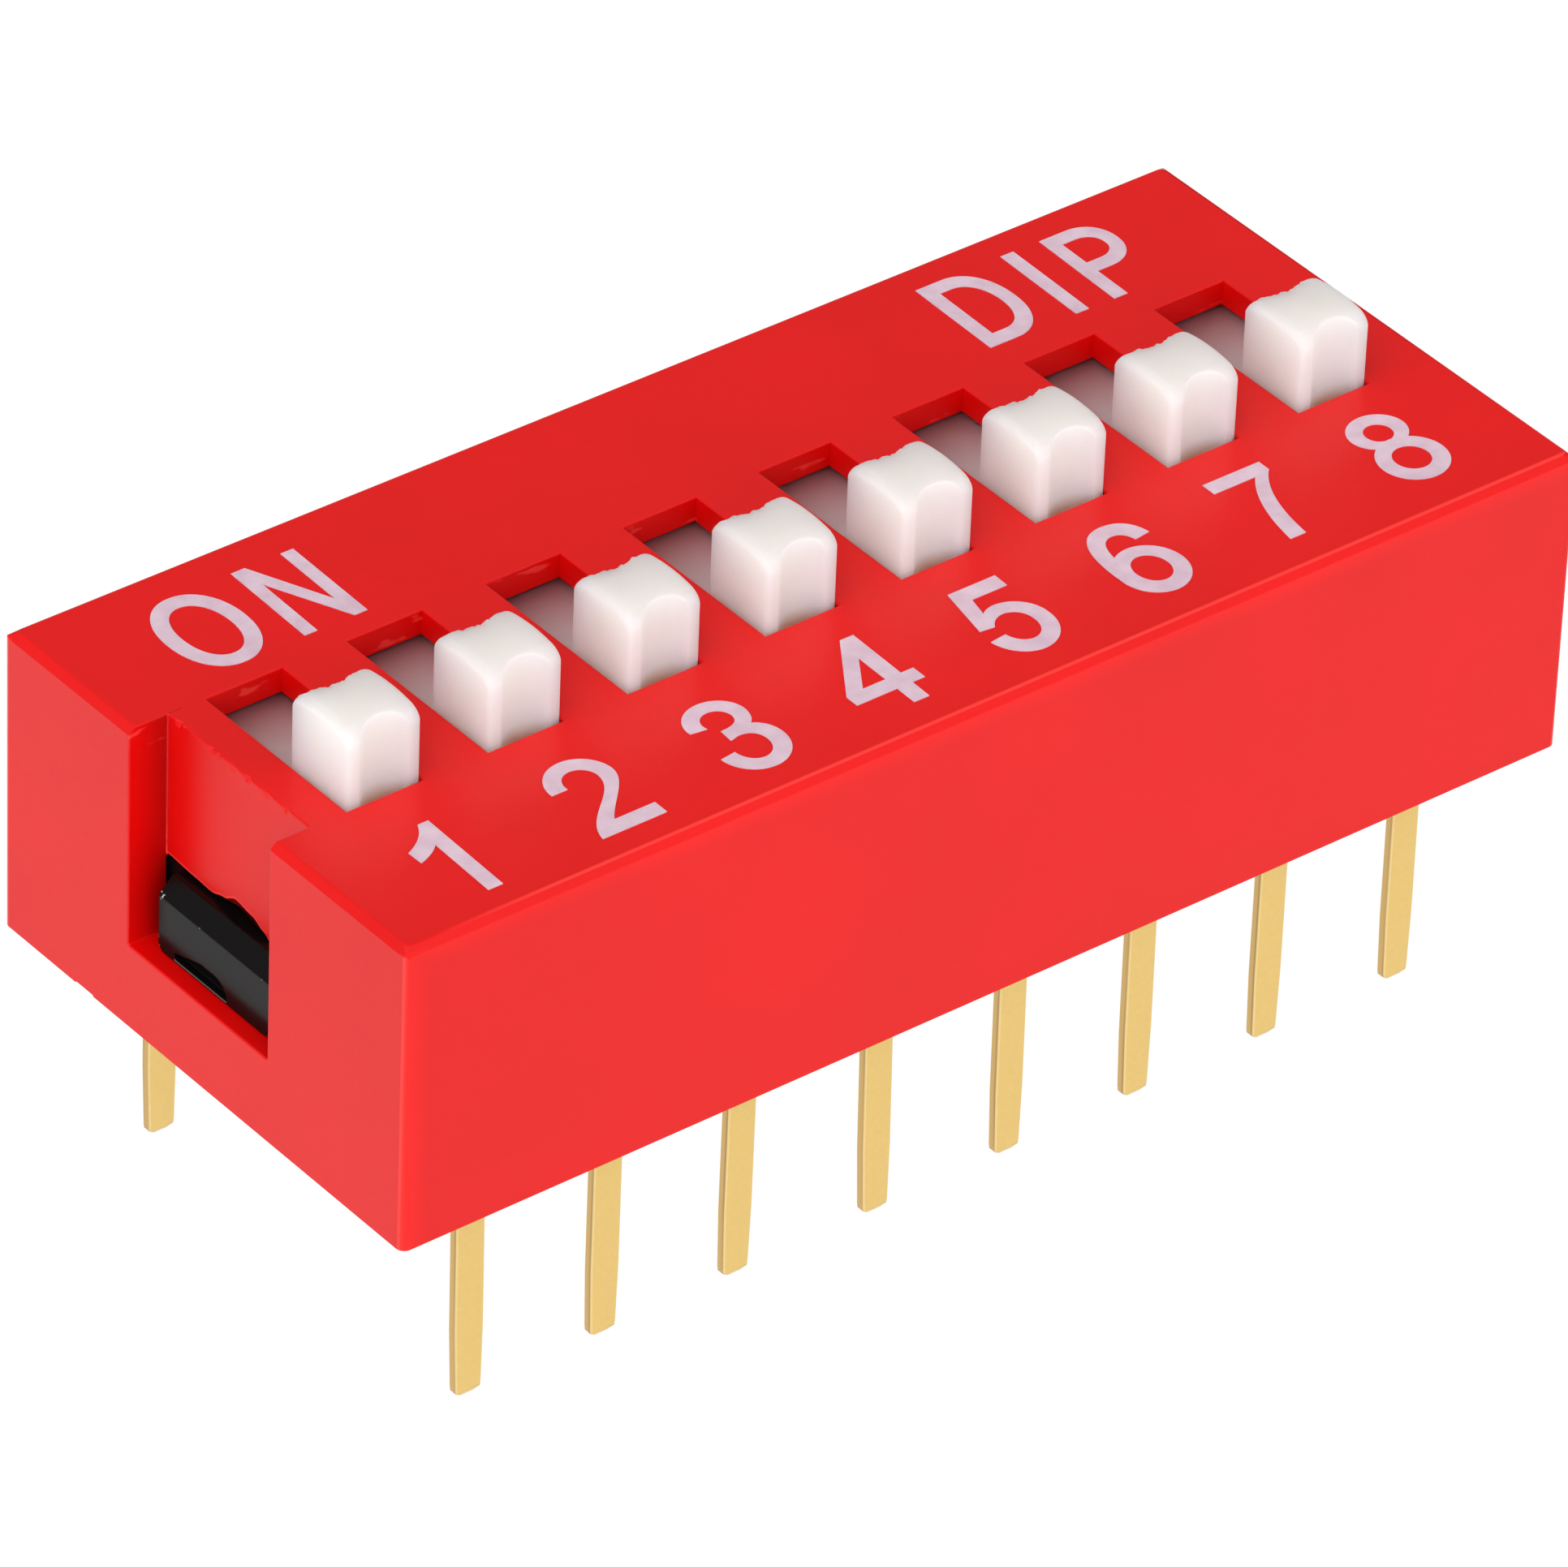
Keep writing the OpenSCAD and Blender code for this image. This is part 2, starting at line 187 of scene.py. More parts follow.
def solid(name, verts, faces, *rest):
    """Makes a piece from points in millimetres and faces. What follows them goes to as_piece."""
    mesh = bpy.data.meshes.new(name)
    mesh.from_pydata((np.asarray(verts, float) * MM).tolist(), [], [list(map(int, f)) for f in faces])
    mesh.validate()
    return as_piece(name, mesh, *rest)


def wrap(rings, lid=True):
    """Surface over a grid of rings (rings, points, 3): quads between rings, a fan at the low end, and one at
    the high end where lid is set. Rings run anticlockwise seen from there, so the faces point outwards."""
    m, n, _ = rings.shape
    j, i = np.meshgrid(np.arange(m - 1), np.arange(n), indexing="ij")
    k = (i + 1) % n
    faces = np.stack([j * n + i, j * n + k, (j + 1) * n + k, (j + 1) * n + i], -1).reshape(-1, 4).tolist()
    verts = rings.reshape(-1, 3)
    around = np.arange(n)
    verts = np.vstack([verts, rings[0].mean(0)])
    faces += np.stack([np.roll(around, -1), around, np.full(n, len(verts) - 1)], -1).tolist()
    if lid:
        verts = np.vstack([verts, rings[-1].mean(0)])
        top = (m - 1) * n + around
        faces += np.stack([top, np.roll(top, -1), np.full(n, len(verts) - 1)], -1).tolist()
    return verts, faces


def ring(half_x, half_y, r, side, corner, dent=None):
    """Rectangle with rounded corners as a loop of points, anticlockwise: side points along each side, then
    corner points along its arc. dent(x) moves the two ends inwards, as a knob's finger scoops do."""
    a = np.radians(np.linspace(0, 90, corner + 2)[1:-1])
    t = np.linspace(-1, 1, side)
    x, y = t * (half_x - r), t * (half_y - r)
    d = dent(x) if dent else 0 * x
    arc = np.c_[np.sin(a), -np.cos(a)] * r
    right = np.array([half_x - r, half_y - r])
    return np.vstack([
        np.c_[x, -half_y + d],
        arc + right * (1, -1),
        np.c_[half_x + 0 * y, y],
        arc[::-1] * (1, -1) + right,
        np.c_[x[::-1], half_y - d[::-1]],
        arc * (-1, -1) + right * (-1, 1),
        np.c_[-half_x + 0 * y, y[::-1]],
        arc[::-1] * (-1, 1) - right,
    ])


def inset(loop, d):
    """The loop moved inwards by d along its own normals."""
    tangent = np.roll(loop, -1, 0) - np.roll(loop, 1, 0)
    tangent /= np.linalg.norm(tangent, axis=1)[:, None]
    return loop + np.c_[-tangent[:, 1] * d, tangent[:, 0] * d]


def fill(outlines, inner=np.zeros((0, 2))):
    """Triangles over the union of closed outlines, through any inner points too, all facing up."""
    points, faces = [], []
    for o in outlines:
        o = o[np.linalg.norm(o - np.roll(o, 1, 0), axis=1) > 1e-6]
        after = np.roll(o, -1, 0)
        if (o[:, 0] * after[:, 1] - o[:, 1] * after[:, 0]).sum() < 0:
            o = o[::-1]
        faces.append(list(range(len(points), len(points) + len(o))))
        points += [tuple(p) for p in o.tolist()]
    points += [tuple(p) for p in inner.tolist()]
    flat, _, tris, _, _, within = delaunay_2d_cdt(points, [], faces, 1, 1e-6)
    p = np.array([tuple(v) for v in flat])
    t = np.array([list(f) for f, outline in zip(tris, within) if outline])
    a, b, c = p[t[:, 0]], p[t[:, 1]], p[t[:, 2]]
    area = (b[:, 0] - a[:, 0]) * (c[:, 1] - a[:, 1]) - (b[:, 1] - a[:, 1]) * (c[:, 0] - a[:, 0])
    return p, np.where(area[:, None] < 0, t[:, ::-1], t)


def weld(piece):
    """Merges a piece's doubled points and turns its faces outwards."""
    bm = bmesh.new()
    bm.from_mesh(piece.data)
    bmesh.ops.remove_doubles(bm, verts=bm.verts, dist=2e-8)
    bmesh.ops.recalc_face_normals(bm, faces=bm.faces)
    bm.to_mesh(piece.data)
    bm.free()


def merged(node):
    """A copy of a solid's mesh with its doubles merged and its flat faces joined."""
    bm = bmesh.new()
    bm.from_mesh(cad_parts[node].data)
    bmesh.ops.remove_doubles(bm, verts=bm.verts, dist=1e-7)
    bmesh.ops.dissolve_limit(bm, angle_limit=math.radians(0.3), verts=bm.verts, edges=bm.edges)
    return bm


def round_edges(bm, radius, segments, chosen, pale_edge=lambda p: False):
    """Rounds the sharp edges that chosen(middle, low, high) passes and marks the new faces. middle is in
    millimetres, low and high are how level its two faces are: 0 is upright, 1 is level. A rounding takes the
    second material, which carries painted highlights, where the last function passes for its middle. Of a
    mesh rounded twice, only the first marks are read, so the second rounding keeps narrow flat strips."""
    mark = bm.faces.layers.int.new("rounding")
    edges = []
    for e in bm.edges:
        if e.is_manifold and e.calc_face_angle() > math.radians(25):
            low, high = sorted(abs(f.normal.z) for f in e.link_faces)
            if chosen((e.verts[0].co + e.verts[1].co) / (2 * MM), low, high):
                edges.append(e)
    made = bmesh.ops.bevel(bm, geom=edges, offset=radius * MM, offset_type="OFFSET", segments=segments,
                           profile=0.5, affect="EDGES", clamp_overlap=False, miter_outer="ARC", material=-1)
    for f in made["faces"]:
        f[mark] = 1
        f.material_index = int(pale_edge(f.calc_center_median() / MM))
    bmesh.ops.dissolve_degenerate(bm, dist=1e-8, edges=bm.edges)


def corner_normals(bm):
    """One normal for each face corner: the mean by area of the faces there that turn by less than 12 degrees,
    or 35 degrees at a rounding. Where a rounding meets flat faces, it takes theirs."""
    mark = bm.faces.layers.int.get("rounding")
    normals = []
    for f in bm.faces:
        least = 0.82 if f[mark] else 0.978  # cosines of 35 and 12 degrees
        for v in f.verts:
            near = [g for g in v.link_faces if g.normal.dot(f.normal) > least]
            near = [g for g in near if not g[mark]] or near
            mean = sum((g.normal * g.calc_area() for g in near), 0 * f.normal)
            normals.append(mean.normalized() if mean.length > 0 else f.normal.copy())
    return normals


def dressed_copy(bm, name, materials, slot, node):
    """Makes a bmesh of one of the housing's solids, with its roundings marked, a piece that stands for it."""
    bm.normal_update()
    normals = corner_normals(bm)
    mesh = bpy.data.meshes.new(name)
    bm.to_mesh(mesh)
    bm.free()
    as_piece(name, mesh, materials, "housing", slot, [node])
    mesh.normals_split_custom_set(normals)


# ---- materials ----
# The inputs of MapRange are, in order, a value, the two ends it comes from, and the two ends it goes to.


def between(tree, value, low, high, soft):
    """1 where a place lies between low and high, fading to 0 within soft outside them, in millimetres."""
    up = add(tree, "MapRange", (value, (low - soft) * MM, low * MM))
    down = add(tree, "MapRange", (value, high * MM, (high + soft) * MM, 1.0, 0.0))
    return add(tree, "Math", (up, down), operation="MULTIPLY")


def moulded_red(name, colour, pale, on_highlight_edge):
    """Glass-filled PBT, injection moulded red: even gloss, faint flow clouds, fine spark-eroded grain, with
    painted highlights and painted shade. pale is the paler red of chips and of painted edge highlights, and
    the last argument is 1 on such an edge's own faces and 0 elsewhere."""
    m, tree = new_material(name)
    where = add(tree, "TexCoord")
    here = where.outputs["Object"]
    x, y, z = add(tree, "SeparateXYZ", {"Vector": here}).outputs
    flat_y = add(tree, "Math", (y,), operation="ABSOLUTE")
    # Flow clouds are about 3 mm across, the grain 0.15 mm.
    clouds = add(tree, "TexNoise", {"Vector": here, "Scale": 330.0, "Detail": 2.0, "Roughness": 0.5})
    grain = add(tree, "TexNoise", {"Vector": here, "Scale": 6500.0, "Detail": 3.0, "Roughness": 0.6})
    tone = add(tree, "MapRange", (clouds, 0.3, 0.7, 0.96, 1.03))
    # Painted highlight: the long sides are brighter just under the bevel and beside the -X corner.
    brow = ROOF - BEVEL
    under = between(tree, z, brow, brow, 0.3)
    upright = add(tree, "Math", (z, (brow + 0.01) * MM), operation="LESS_THAN")
    under = add(tree, "Math", (under, upright), operation="MULTIPLY")
    highlight_band = add(tree, "Math", (under, between(tree, x, LOW[0], LOW[0] + 0.16, 0.3)), operation="MAXIMUM")
    side = add(tree, "Math", (flat_y, (HIGH[1] - 0.1) * MM), operation="GREATER_THAN")
    highlight_band = add(tree, "Math", (highlight_band, side), operation="MULTIPLY")
    tone = add(tree, "Math", (highlight_band, 0.13, tone), operation="MULTIPLY_ADD")
    # The top throws less red on the knobs than its full colour would, so that their sides stay white.
    top = add(tree, "Math", (z, (ROOF - 0.03) * MM), operation="GREATER_THAN")
    bounce = add(tree, "Math", (add(tree, "LightPath").outputs["Is Diffuse Ray"], top), operation="MULTIPLY")
    bounce = add(tree, "Math", (bounce, -0.35, 1.0), operation="MULTIPLY_ADD")
    tone = add(tree, "Math", (tone, bounce), operation="MULTIPLY")
    # Painted shade: the channel's side wall is darkened towards the nook, where little light gets in.
    nook = add(tree, "MapRange", (x, -10.8 * MM, -10.3 * MM))
    side_wall = between(tree, y, SLOT_END - 0.005, SLOT_END + 0.005, 0.01)
    nook = add(tree, "Math", (nook, side_wall), operation="MULTIPLY")
    outer = add(tree, "Math", (x, -10.0 * MM), operation="LESS_THAN")
    nook = add(tree, "Math", (nook, outer), operation="MULTIPLY")
    nook = add(tree, "Math", (nook, -0.38, 1.0), operation="MULTIPLY_ADD")
    tone = add(tree, "Math", (tone, nook), operation="MULTIPLY")
    plain = add(tree, "HueSaturation", {"Value": tone, "Color": rgba(colour)})
    # Painted highlight: a pale line down a rounded upright corner, where it leaves the end face.
    turn = add(tree, "SeparateXYZ", {"Vector": where.outputs["Normal"]}).outputs["X"]
    line = add(tree, "ValToRGB", {"Fac": add(tree, "Math", (turn,), operation="ABSOLUTE")})
    stops = ((0.0, 0.0), (0.08, 0.1), (0.6, 0.16), (0.86, 0.3), (0.94, 0.8), (0.985, 0.5), (1.0, 0.0))
    while len(line.color_ramp.elements) < len(stops):
        line.color_ramp.elements.new(0.5)
    for stop, (at, level) in zip(line.color_ramp.elements, stops):
        stop.position, stop.color = at, rgba((level, level, level))
    corner = add(tree, "Math", (flat_y, (HIGH[1] - 0.2) * MM), operation="GREATER_THAN")
    upright = add(tree, "Math", (z, (ROOF - 0.1) * MM), operation="LESS_THAN")
    corner = add(tree, "Math", (corner, upright), operation="MULTIPLY")
    line = add(tree, "Math", (line, corner), operation="MULTIPLY")
    # Chips of the punch marks in the windows' back walls are long in X and about 0.05 mm high.
    streak = add(tree, "Mapping", {"Vector": here, "Scale": (0.35, 1.0, 1.0)})
    chips = add(tree, "TexNoise", {"Vector": streak, "Scale": 5200.0, "Detail": 2.0})
    chips = add(tree, "MapRange", (chips, 0.63, 0.7, 0.0, 0.5))
    back = between(tree, y, SLOT_END - 0.04, SLOT_END + 0.02, 0.01)
    back = add(tree, "Math", (back, between(tree, z, 4.92, ROOF - 0.06, 0.02)), operation="MULTIPLY")
    chips = add(tree, "Math", (chips, back), operation="MULTIPLY")
    pale_on = add(tree, "Math", (line, chips), operation="MAXIMUM")
    # Painted highlight: the front edge is paler, and less so towards the -X corner.
    front_highlight = add(tree, "MapRange", (x, -10.4 * MM, -8.2 * MM, 0.0, 0.5 * on_highlight_edge))
    # Painted highlight: the pale band over the latch shows whole; the line in the nook shows only as pale
    # flecks, denser low down.
    flecks = add(tree, "TexNoise", {"Vector": here, "Scale": 7000.0, "Detail": 2.0})
    flecks = add(tree, "MapRange", (flecks, 0.45, 0.62, 0.05, 0.8))
    dense = add(tree, "MapRange", (z, 2.9 * MM, 3.5 * MM, 0.75, 0.2))
    inner = add(tree, "Math", (flecks, dense), operation="MULTIPLY")
    lintel_highlight_on = add(tree, "Math", (y, (SLOT_END - 0.04) * MM), operation="LESS_THAN")
    lintel_highlight_on = add(tree, "Math", (lintel_highlight_on, 0.55), operation="MULTIPLY")
    inner = add(tree, "Math", (inner, lintel_highlight_on), operation="MAXIMUM")
    inner = add(tree, "Math", (inner, on_highlight_edge), operation="MULTIPLY")
    upright = add(tree, "Math", (z, (ROOF - 0.06) * MM), operation="LESS_THAN")
    inner = add(tree, "Math", (inner, upright), operation="MULTIPLY")
    inner = add(tree, "Math", (front_highlight, inner), operation="MAXIMUM")
    pale_on = add(tree, "Math", (pale_on, inner), operation="MAXIMUM")
    shade = add(tree, "Mix", {"Factor": pale_on, "A": plain, "B": rgba(pale)}, data_type="RGBA")
    shader = add(tree, "BsdfPrincipled", {
        "Base Color": shade.outputs["Result"],
        "Roughness": add(tree, "MapRange", (grain, 0.0, 1.0, 0.3, 0.42)),
        "Normal": add(tree, "Bump", {"Height": grain, "Strength": 0.05, "Distance": 0.02 * MM}),
        "IOR": 1.5, "Specular IOR Level": 0.3,
    })
    add(tree, "OutputMaterial", {"Surface": shader})
    return m


def moulded_black(name, colour):
    """Glass-filled PBT, injection moulded black against a mirror-finished tool. It mirrors what stands near
    it.
    Pale specks along its ridge are a painted highlight, and its +Y edge is chipped pale."""
    m, tree = new_material(name)
    here = add(tree, "TexCoord").outputs["Object"]
    x, y, z = add(tree, "SeparateXYZ", {"Vector": here}).outputs
    grain = add(tree, "TexNoise", {"Vector": here, "Scale": 7000.0, "Detail": 3.0})
    # Pale specks within 0.04 mm of the ridge are a painted highlight line, and those down the latch's +Y edge
    # are chips; they lie closer together at the +Y end.
    chips = add(tree, "TexNoise", {"Vector": here, "Scale": 15000.0, "Detail": 1.0})
    sparse = add(tree, "MapRange", (y, 1.1 * MM, 1.4 * MM, 0.77, 0.57))
    chips = add(tree, "Math", (chips, sparse), operation="GREATER_THAN")
    edge = between(tree, y, LATCH_END - 0.04, LATCH_END + 0.01, 0.01)
    low = add(tree, "Math", (z, 1.8 * MM), operation="LESS_THAN")
    edge = add(tree, "Math", (edge, low), operation="MULTIPLY")
    edge = add(tree, "Math", (between(tree, z, RIDGE - 0.04, RIDGE + 0.04, 0.02), edge), operation="MAXIMUM")
    chips = add(tree, "Math", (chips, edge), operation="MULTIPLY")
    front = add(tree, "Math", (x, (LATCH_X + 0.15) * MM), operation="LESS_THAN")
    chips = add(tree, "Math", (chips, front), operation="MULTIPLY")
    shade = add(tree, "Mix", {"Factor": chips, "A": rgba(colour), "B": rgba("B8AFA8")}, data_type="RGBA")
    shader = add(tree, "BsdfPrincipled", {
        "Base Color": shade.outputs["Result"],
        "Roughness": add(tree, "MapRange", (grain, 0.0, 1.0, 0.16, 0.28)),
        "Normal": add(tree, "Bump", {"Height": grain, "Strength": 0.06, "Distance": 0.02 * MM}),
        "IOR": 1.5, "Specular IOR Level": 0.13,
    })
    add(tree, "OutputMaterial", {"Surface": shader})
    return m


def white_nylon(colours):
    """Natural nylon, injection moulded: milky, with a soft gloss. Light goes a millimetre or two into it."""
    m, tree = new_material("natural white nylon")
    where = add(tree, "TexCoord")
    here = where.outputs["Object"]
    place = add(tree, "SeparateXYZ", {"Vector": here})
    turn = add(tree, "SeparateXYZ", {"Vector": where.outputs["Normal"]})
    # Painted shade: faces that point up are greyer, and the sides stay whiter.
    top_shade = add(tree, "MapRange", (turn.outputs["Z"], 0.3, 0.85))
    white, top_grey = rgba(colours.knob), rgba("DAD7D1")
    white = add(tree, "Mix", {"Factor": top_shade, "A": white, "B": top_grey}, data_type="RGBA")
    clouds = add(tree, "TexNoise", {"Vector": here, "Scale": 900.0, "Detail": 2.0})
    tone = add(tree, "MapRange", (clouds, 0.3, 0.7, 0.98, 1.01))
    clean = add(tree, "HueSaturation", {"Value": tone, "Color": white.outputs["Result"]})
    # Painted shade: low down on the front the white turns warm brown.
    foot_shade = add(tree, "MapRange", (place.outputs["Z"], 5.05 * MM, 5.38 * MM, 1.0, 0.0))
    front = add(tree, "Math", (turn.outputs["Y"], -0.7), operation="LESS_THAN")
    foot_shade = add(tree, "Math", (foot_shade, front), operation="MULTIPLY")
    warm_foot = add(tree, "Mix", {"Factor": foot_shade, "A": clean, "B": rgba("DDB8A4")}, data_type="RGBA")
    # Painted shade: the flange inside the cover is darkened and reddened, most where it lies furthest from
    # the knob.
    off = add(tree, "Math", (place.outputs["Y"], -REST_Y * MM), operation="ADD")
    off = add(tree, "Math", (off,), operation="ABSOLUTE")
    far = add(tree, "MapRange", (off, 0.7 * MM, 2.6 * MM))
    flange_shade = add(tree, "Mix", {"Factor": far, "A": rgba("E4CCCC"), "B": rgba("945C5E")}, data_type="RGBA")
    clear = add(tree, "MapRange", (place.outputs["Z"], FLANGE_TOP * MM, (FLANGE_TOP + 0.12) * MM),
                interpolation_type="SMOOTHSTEP")
    shade = add(tree, "Mix", {"Factor": clear, "A": flange_shade.outputs["Result"], "B": warm_foot.outputs["Result"]},
                data_type="RGBA")
    grain = add(tree, "TexNoise", {"Vector": here, "Scale": 5000.0, "Detail": 2.0})
    shader = add(tree, "BsdfPrincipled", {
        "Base Color": shade.outputs["Result"], "Roughness": 0.48,
        "Normal": add(tree, "Bump", {"Height": grain, "Strength": 0.04, "Distance": 0.02 * MM}),
        "IOR": 1.53, "Specular IOR Level": 0.28,
        "Subsurface Weight": 1.0, "Subsurface Radius": (1.0, 0.95, 0.8), "Subsurface Scale": 2.2 * MM,
    })
    add(tree, "OutputMaterial", {"Surface": shader})
    return m


def pad_ink(colours):
    """Pad-printed two-part ink: matt, slightly cloudy where the film is thin over the red."""
    m, tree = new_material("pad printed ink")
    here = add(tree, "TexCoord").outputs["Object"]
    thin = add(tree, "TexNoise", {"Vector": here, "Scale": 2600.0, "Detail": 4.0, "Roughness": 0.6})
    thin = add(tree, "MapRange", (thin, 0.35, 0.65, 0.0, 0.45))
    shade = add(tree, "Mix", {"Factor": thin, "A": rgba(colours.ink), "B": rgba("C29CB0")}, data_type="RGBA")
    shader = add(tree, "BsdfPrincipled", {
        "Base Color": shade.outputs["Result"], "Roughness": 0.55, "IOR": 1.5, "Specular IOR Level": 0.3,
    })
    add(tree, "OutputMaterial", {"Surface": shader})
    return m


def gold_plate(name, colour, streak):
    """Gold plated on stamped copper alloy: soft satin metal with a cloudy grain. streak is how much darker
    the sheared sides get along the line where the cut turned into a break."""
    m, tree = new_material(name)
    here = add(tree, "TexCoord").outputs["Object"]
    place = add(tree, "SeparateXYZ", {"Vector": here})
    # Draw lines are stretched 12 times along the pin and about 0.03 mm wide, the clouds are 0.1 mm across.
    along = add(tree, "Mapping", {"Vector": here, "Scale": (1.0, 1.0, 0.08)})
    lines = add(tree, "TexNoise", {"Vector": along, "Scale": 14000.0, "Detail": 2.0})
    grain = add(tree, "TexNoise", {"Vector": here, "Scale": 9000.0, "Detail": 3.0})
    clouds = add(tree, "TexNoise", {"Vector": here, "Scale": 9000.0, "Detail": 4.0, "Roughness": 0.75})
    tone = add(tree, "MapRange", (clouds, 0.3, 0.7, 0.96, 1.03))
    # The break line wanders along the pin: strong on some pins, faint on others.
    long = add(tree, "Mapping", {"Vector": here, "Scale": (1.0, 0.0, 0.3)})
    wander = add(tree, "TexNoise", {"Vector": long, "Scale": 900.0, "Detail": 1.0})
    wander = add(tree, "MapRange", (wander, 0.35, 0.6, 0.0, streak))
    row = add(tree, "Math", (place.outputs["Y"],), operation="ABSOLUTE")
    line = between(tree, row, ROW_Y + 0.03, ROW_Y + 0.055, 0.015)
    line = add(tree, "Math", (line, wander), operation="MULTIPLY")
    cut = add(tree, "Math", (1.0, line), operation="SUBTRACT")
    tone = add(tree, "Math", (tone, cut), operation="MULTIPLY")
    # Painted shade: the plating is a little darker close under the cover.
    under = add(tree, "MapRange", (place.outputs["Z"], -1.6 * MM, 0.0, 1.0, 0.93))
    tone = add(tree, "Math", (tone, under), operation="MULTIPLY")
    shader = add(tree, "BsdfPrincipled", {
        "Base Color": add(tree, "HueSaturation", {"Value": tone, "Color": rgba(colour)}),
        "Metallic": 1.0,
        "Roughness": add(tree, "MapRange", (grain, 0.0, 1.0, 0.3, 0.46)),
        "Normal": add(tree, "Bump", {"Height": lines, "Strength": 0.12, "Distance": 0.01 * MM}),
    })
    add(tree, "OutputMaterial", {"Surface": shader})
    return m


def spring_bronze():
    """Gold plated spring bronze, rolled and formed: a little darker and glossier than the pins."""
    m, tree = new_material("gold plated spring bronze")
    here = add(tree, "TexCoord").outputs["Object"]
    grain = add(tree, "TexNoise", {"Vector": here, "Scale": 8000.0, "Detail": 2.0})
    shader = add(tree, "BsdfPrincipled", {
        "Base Color": rgba("D9A860"), "Metallic": 1.0,
        "Roughness": add(tree, "MapRange", (grain, 0.0, 1.0, 0.22, 0.34)),
    })
    add(tree, "OutputMaterial", {"Surface": shader})
    return m


# ---- shapes ----


def through(at, value, x):
    """Smooth curve through (at, value) pairs: half cosines from each to the next."""
    i = np.clip(np.searchsorted(at, x) - 1, 0, len(at) - 2)
    at, value = np.asarray(at), np.asarray(value)
    t = np.clip((x - at[i]) / (at[i + 1] - at[i]), 0, 1)
    return value[i] + (value[i + 1] - value[i]) * (1 - np.cos(np.pi * t)) / 2


def lintel_wave(y):
    """How far the trimmed lower edge of the wall above the latch lies over its nominal height, at y."""
    at = (-1.7, -1.1, -0.74, -0.6, -0.3, 0.1, 0.4, 0.7, 1.1, 1.85)
    over = (0.0, -0.06, -0.1, -0.01, 0.105, 0.16, 0.03, -0.05, -0.03, 0.01)
    return through(at, over, y)


def rim_wear(y):
    """How far the upper edge of the same wall lies back from its nominal place, at y: a few shallow nicks."""
    nicks = ((1.52, 0.05, 0.05), (1.36, 0.03, 0.03), (0.72, 0.06, 0.035), (0.55, 0.03, 0.02),
             (0.2, 0.12, 0.02), (-0.15, 0.06, 0.04), (-0.62, 0.1, 0.02), (-1.1, 0.05, 0.03))
    return sum(deep * np.exp(-(((y - at) / wide) ** 2)) for at, wide, deep in nicks)


class SWITCH_OT_cover(bpy.types.Operator):
    """Cover: the solid's faces with rounded edges, and a trimmed, slightly wavy wall edge over the latch"""

    bl_idname = "switch.cover"
    bl_label = "Cover"

    def execute(self, context):
        sizes, colours = context.scene.switch_sizes, context.scene.switch_colours
        brow, lintel_highlight_top = ROOF - BEVEL, LINTEL + 0.055

        def in_wall(place, half_width):
            x, y, _ = place / MM
            return WALL_X - 0.05 < x < WALL_X + 0.35 and abs(y - SLOT_Y) < half_width

        def outside(p, low, high):
            shell = abs(p.x) > HIGH[0] - 0.12 or abs(p.y) > HIGH[1] - 0.15 or p.z > brow
            channel = p.x < WALL_X + 0.05 and abs(p.y - SLOT_Y) < 1.75 and p.z > 1.4
            under_bevel = low < 0.2 and 0.5 < high < 0.9
            return (shell or channel) and p.z > 0.2 and not under_bevel

        def mitre(p, low, high):
            return p.z > brow and 0.6 < low and high < 0.8

        # The paler red goes on the front top edge as a painted highlight, and on a line in the nook.
        def pale_edge(p):
            front = p.y < LOW[1] + 0.2 and p.z > ROOF - 0.05
            nook = WALL_X - 0.02 < p.x < WALL_X + 0.1 and SLOT_END - 0.02 < p.y < SLOT_END - 0.005
            return front or nook and p.z < ROOF - 0.05

        bm = merged("cover")
        # The corners of the bevel are worn rounder than its edges.
        round_edges(bm, 0.1, 4, mitre)
        round_edges(bm, sizes.rim, 3, outside, pale_edge)
        # The wall above the latch is cut into narrow slices, and the ends of the cuts are moved.
        cuts = [((0, y, 0), (0, 1, 0)) for y in np.linspace(-1.58, 1.74, 57)]
        cuts += [((0, 0, z), (0, 0, 1)) for z in (ROOF - 0.1, lintel_highlight_top, LINTEL + 0.25)]
        for at, across in cuts:
            near = [f for f in bm.faces if all(in_wall(v.co, 1.8) for v in f.verts)]
            geom = near + list({e for f in near for e in f.edges}) + list({v for f in near for v in f.verts})
            bmesh.ops.bisect_plane(bm, geom=geom, dist=1e-8, plane_co=np.array(at) * MM, plane_no=across)
        # Painted highlight: a thin pale band along the trimmed edge takes the second material.
        for f in bm.faces:
            x, y, z = f.calc_center_median() / MM
            if x < WALL_X + 0.01 and abs(y - SLOT_Y) < 1.7 and LINTEL + 0.02 < z < lintel_highlight_top:
                f.material_index = 1
        for v in bm.verts:
            x, y, z = v.co / MM
            if in_wall(v.co, 1.7):
                if abs(z - LINTEL) < 0.07:
                    v.co.z += float(lintel_wave(y)) * sizes.lintel_wave * MM
                elif z > ROOF - 0.04 and x < WALL_X + 0.13:
                    v.co.x += float(rim_wear(y)) * MM
        materials = [moulded_red("moulded red PBT", colours.cover, colours.pale_edge, 0.0),
                     moulded_red("pale red PBT edge, painted highlight", colours.cover, colours.pale_edge, 1.0)]
        dressed_copy(bm, "cover_moulding", materials, "red_cover", "cover")
        return {"FINISHED"}


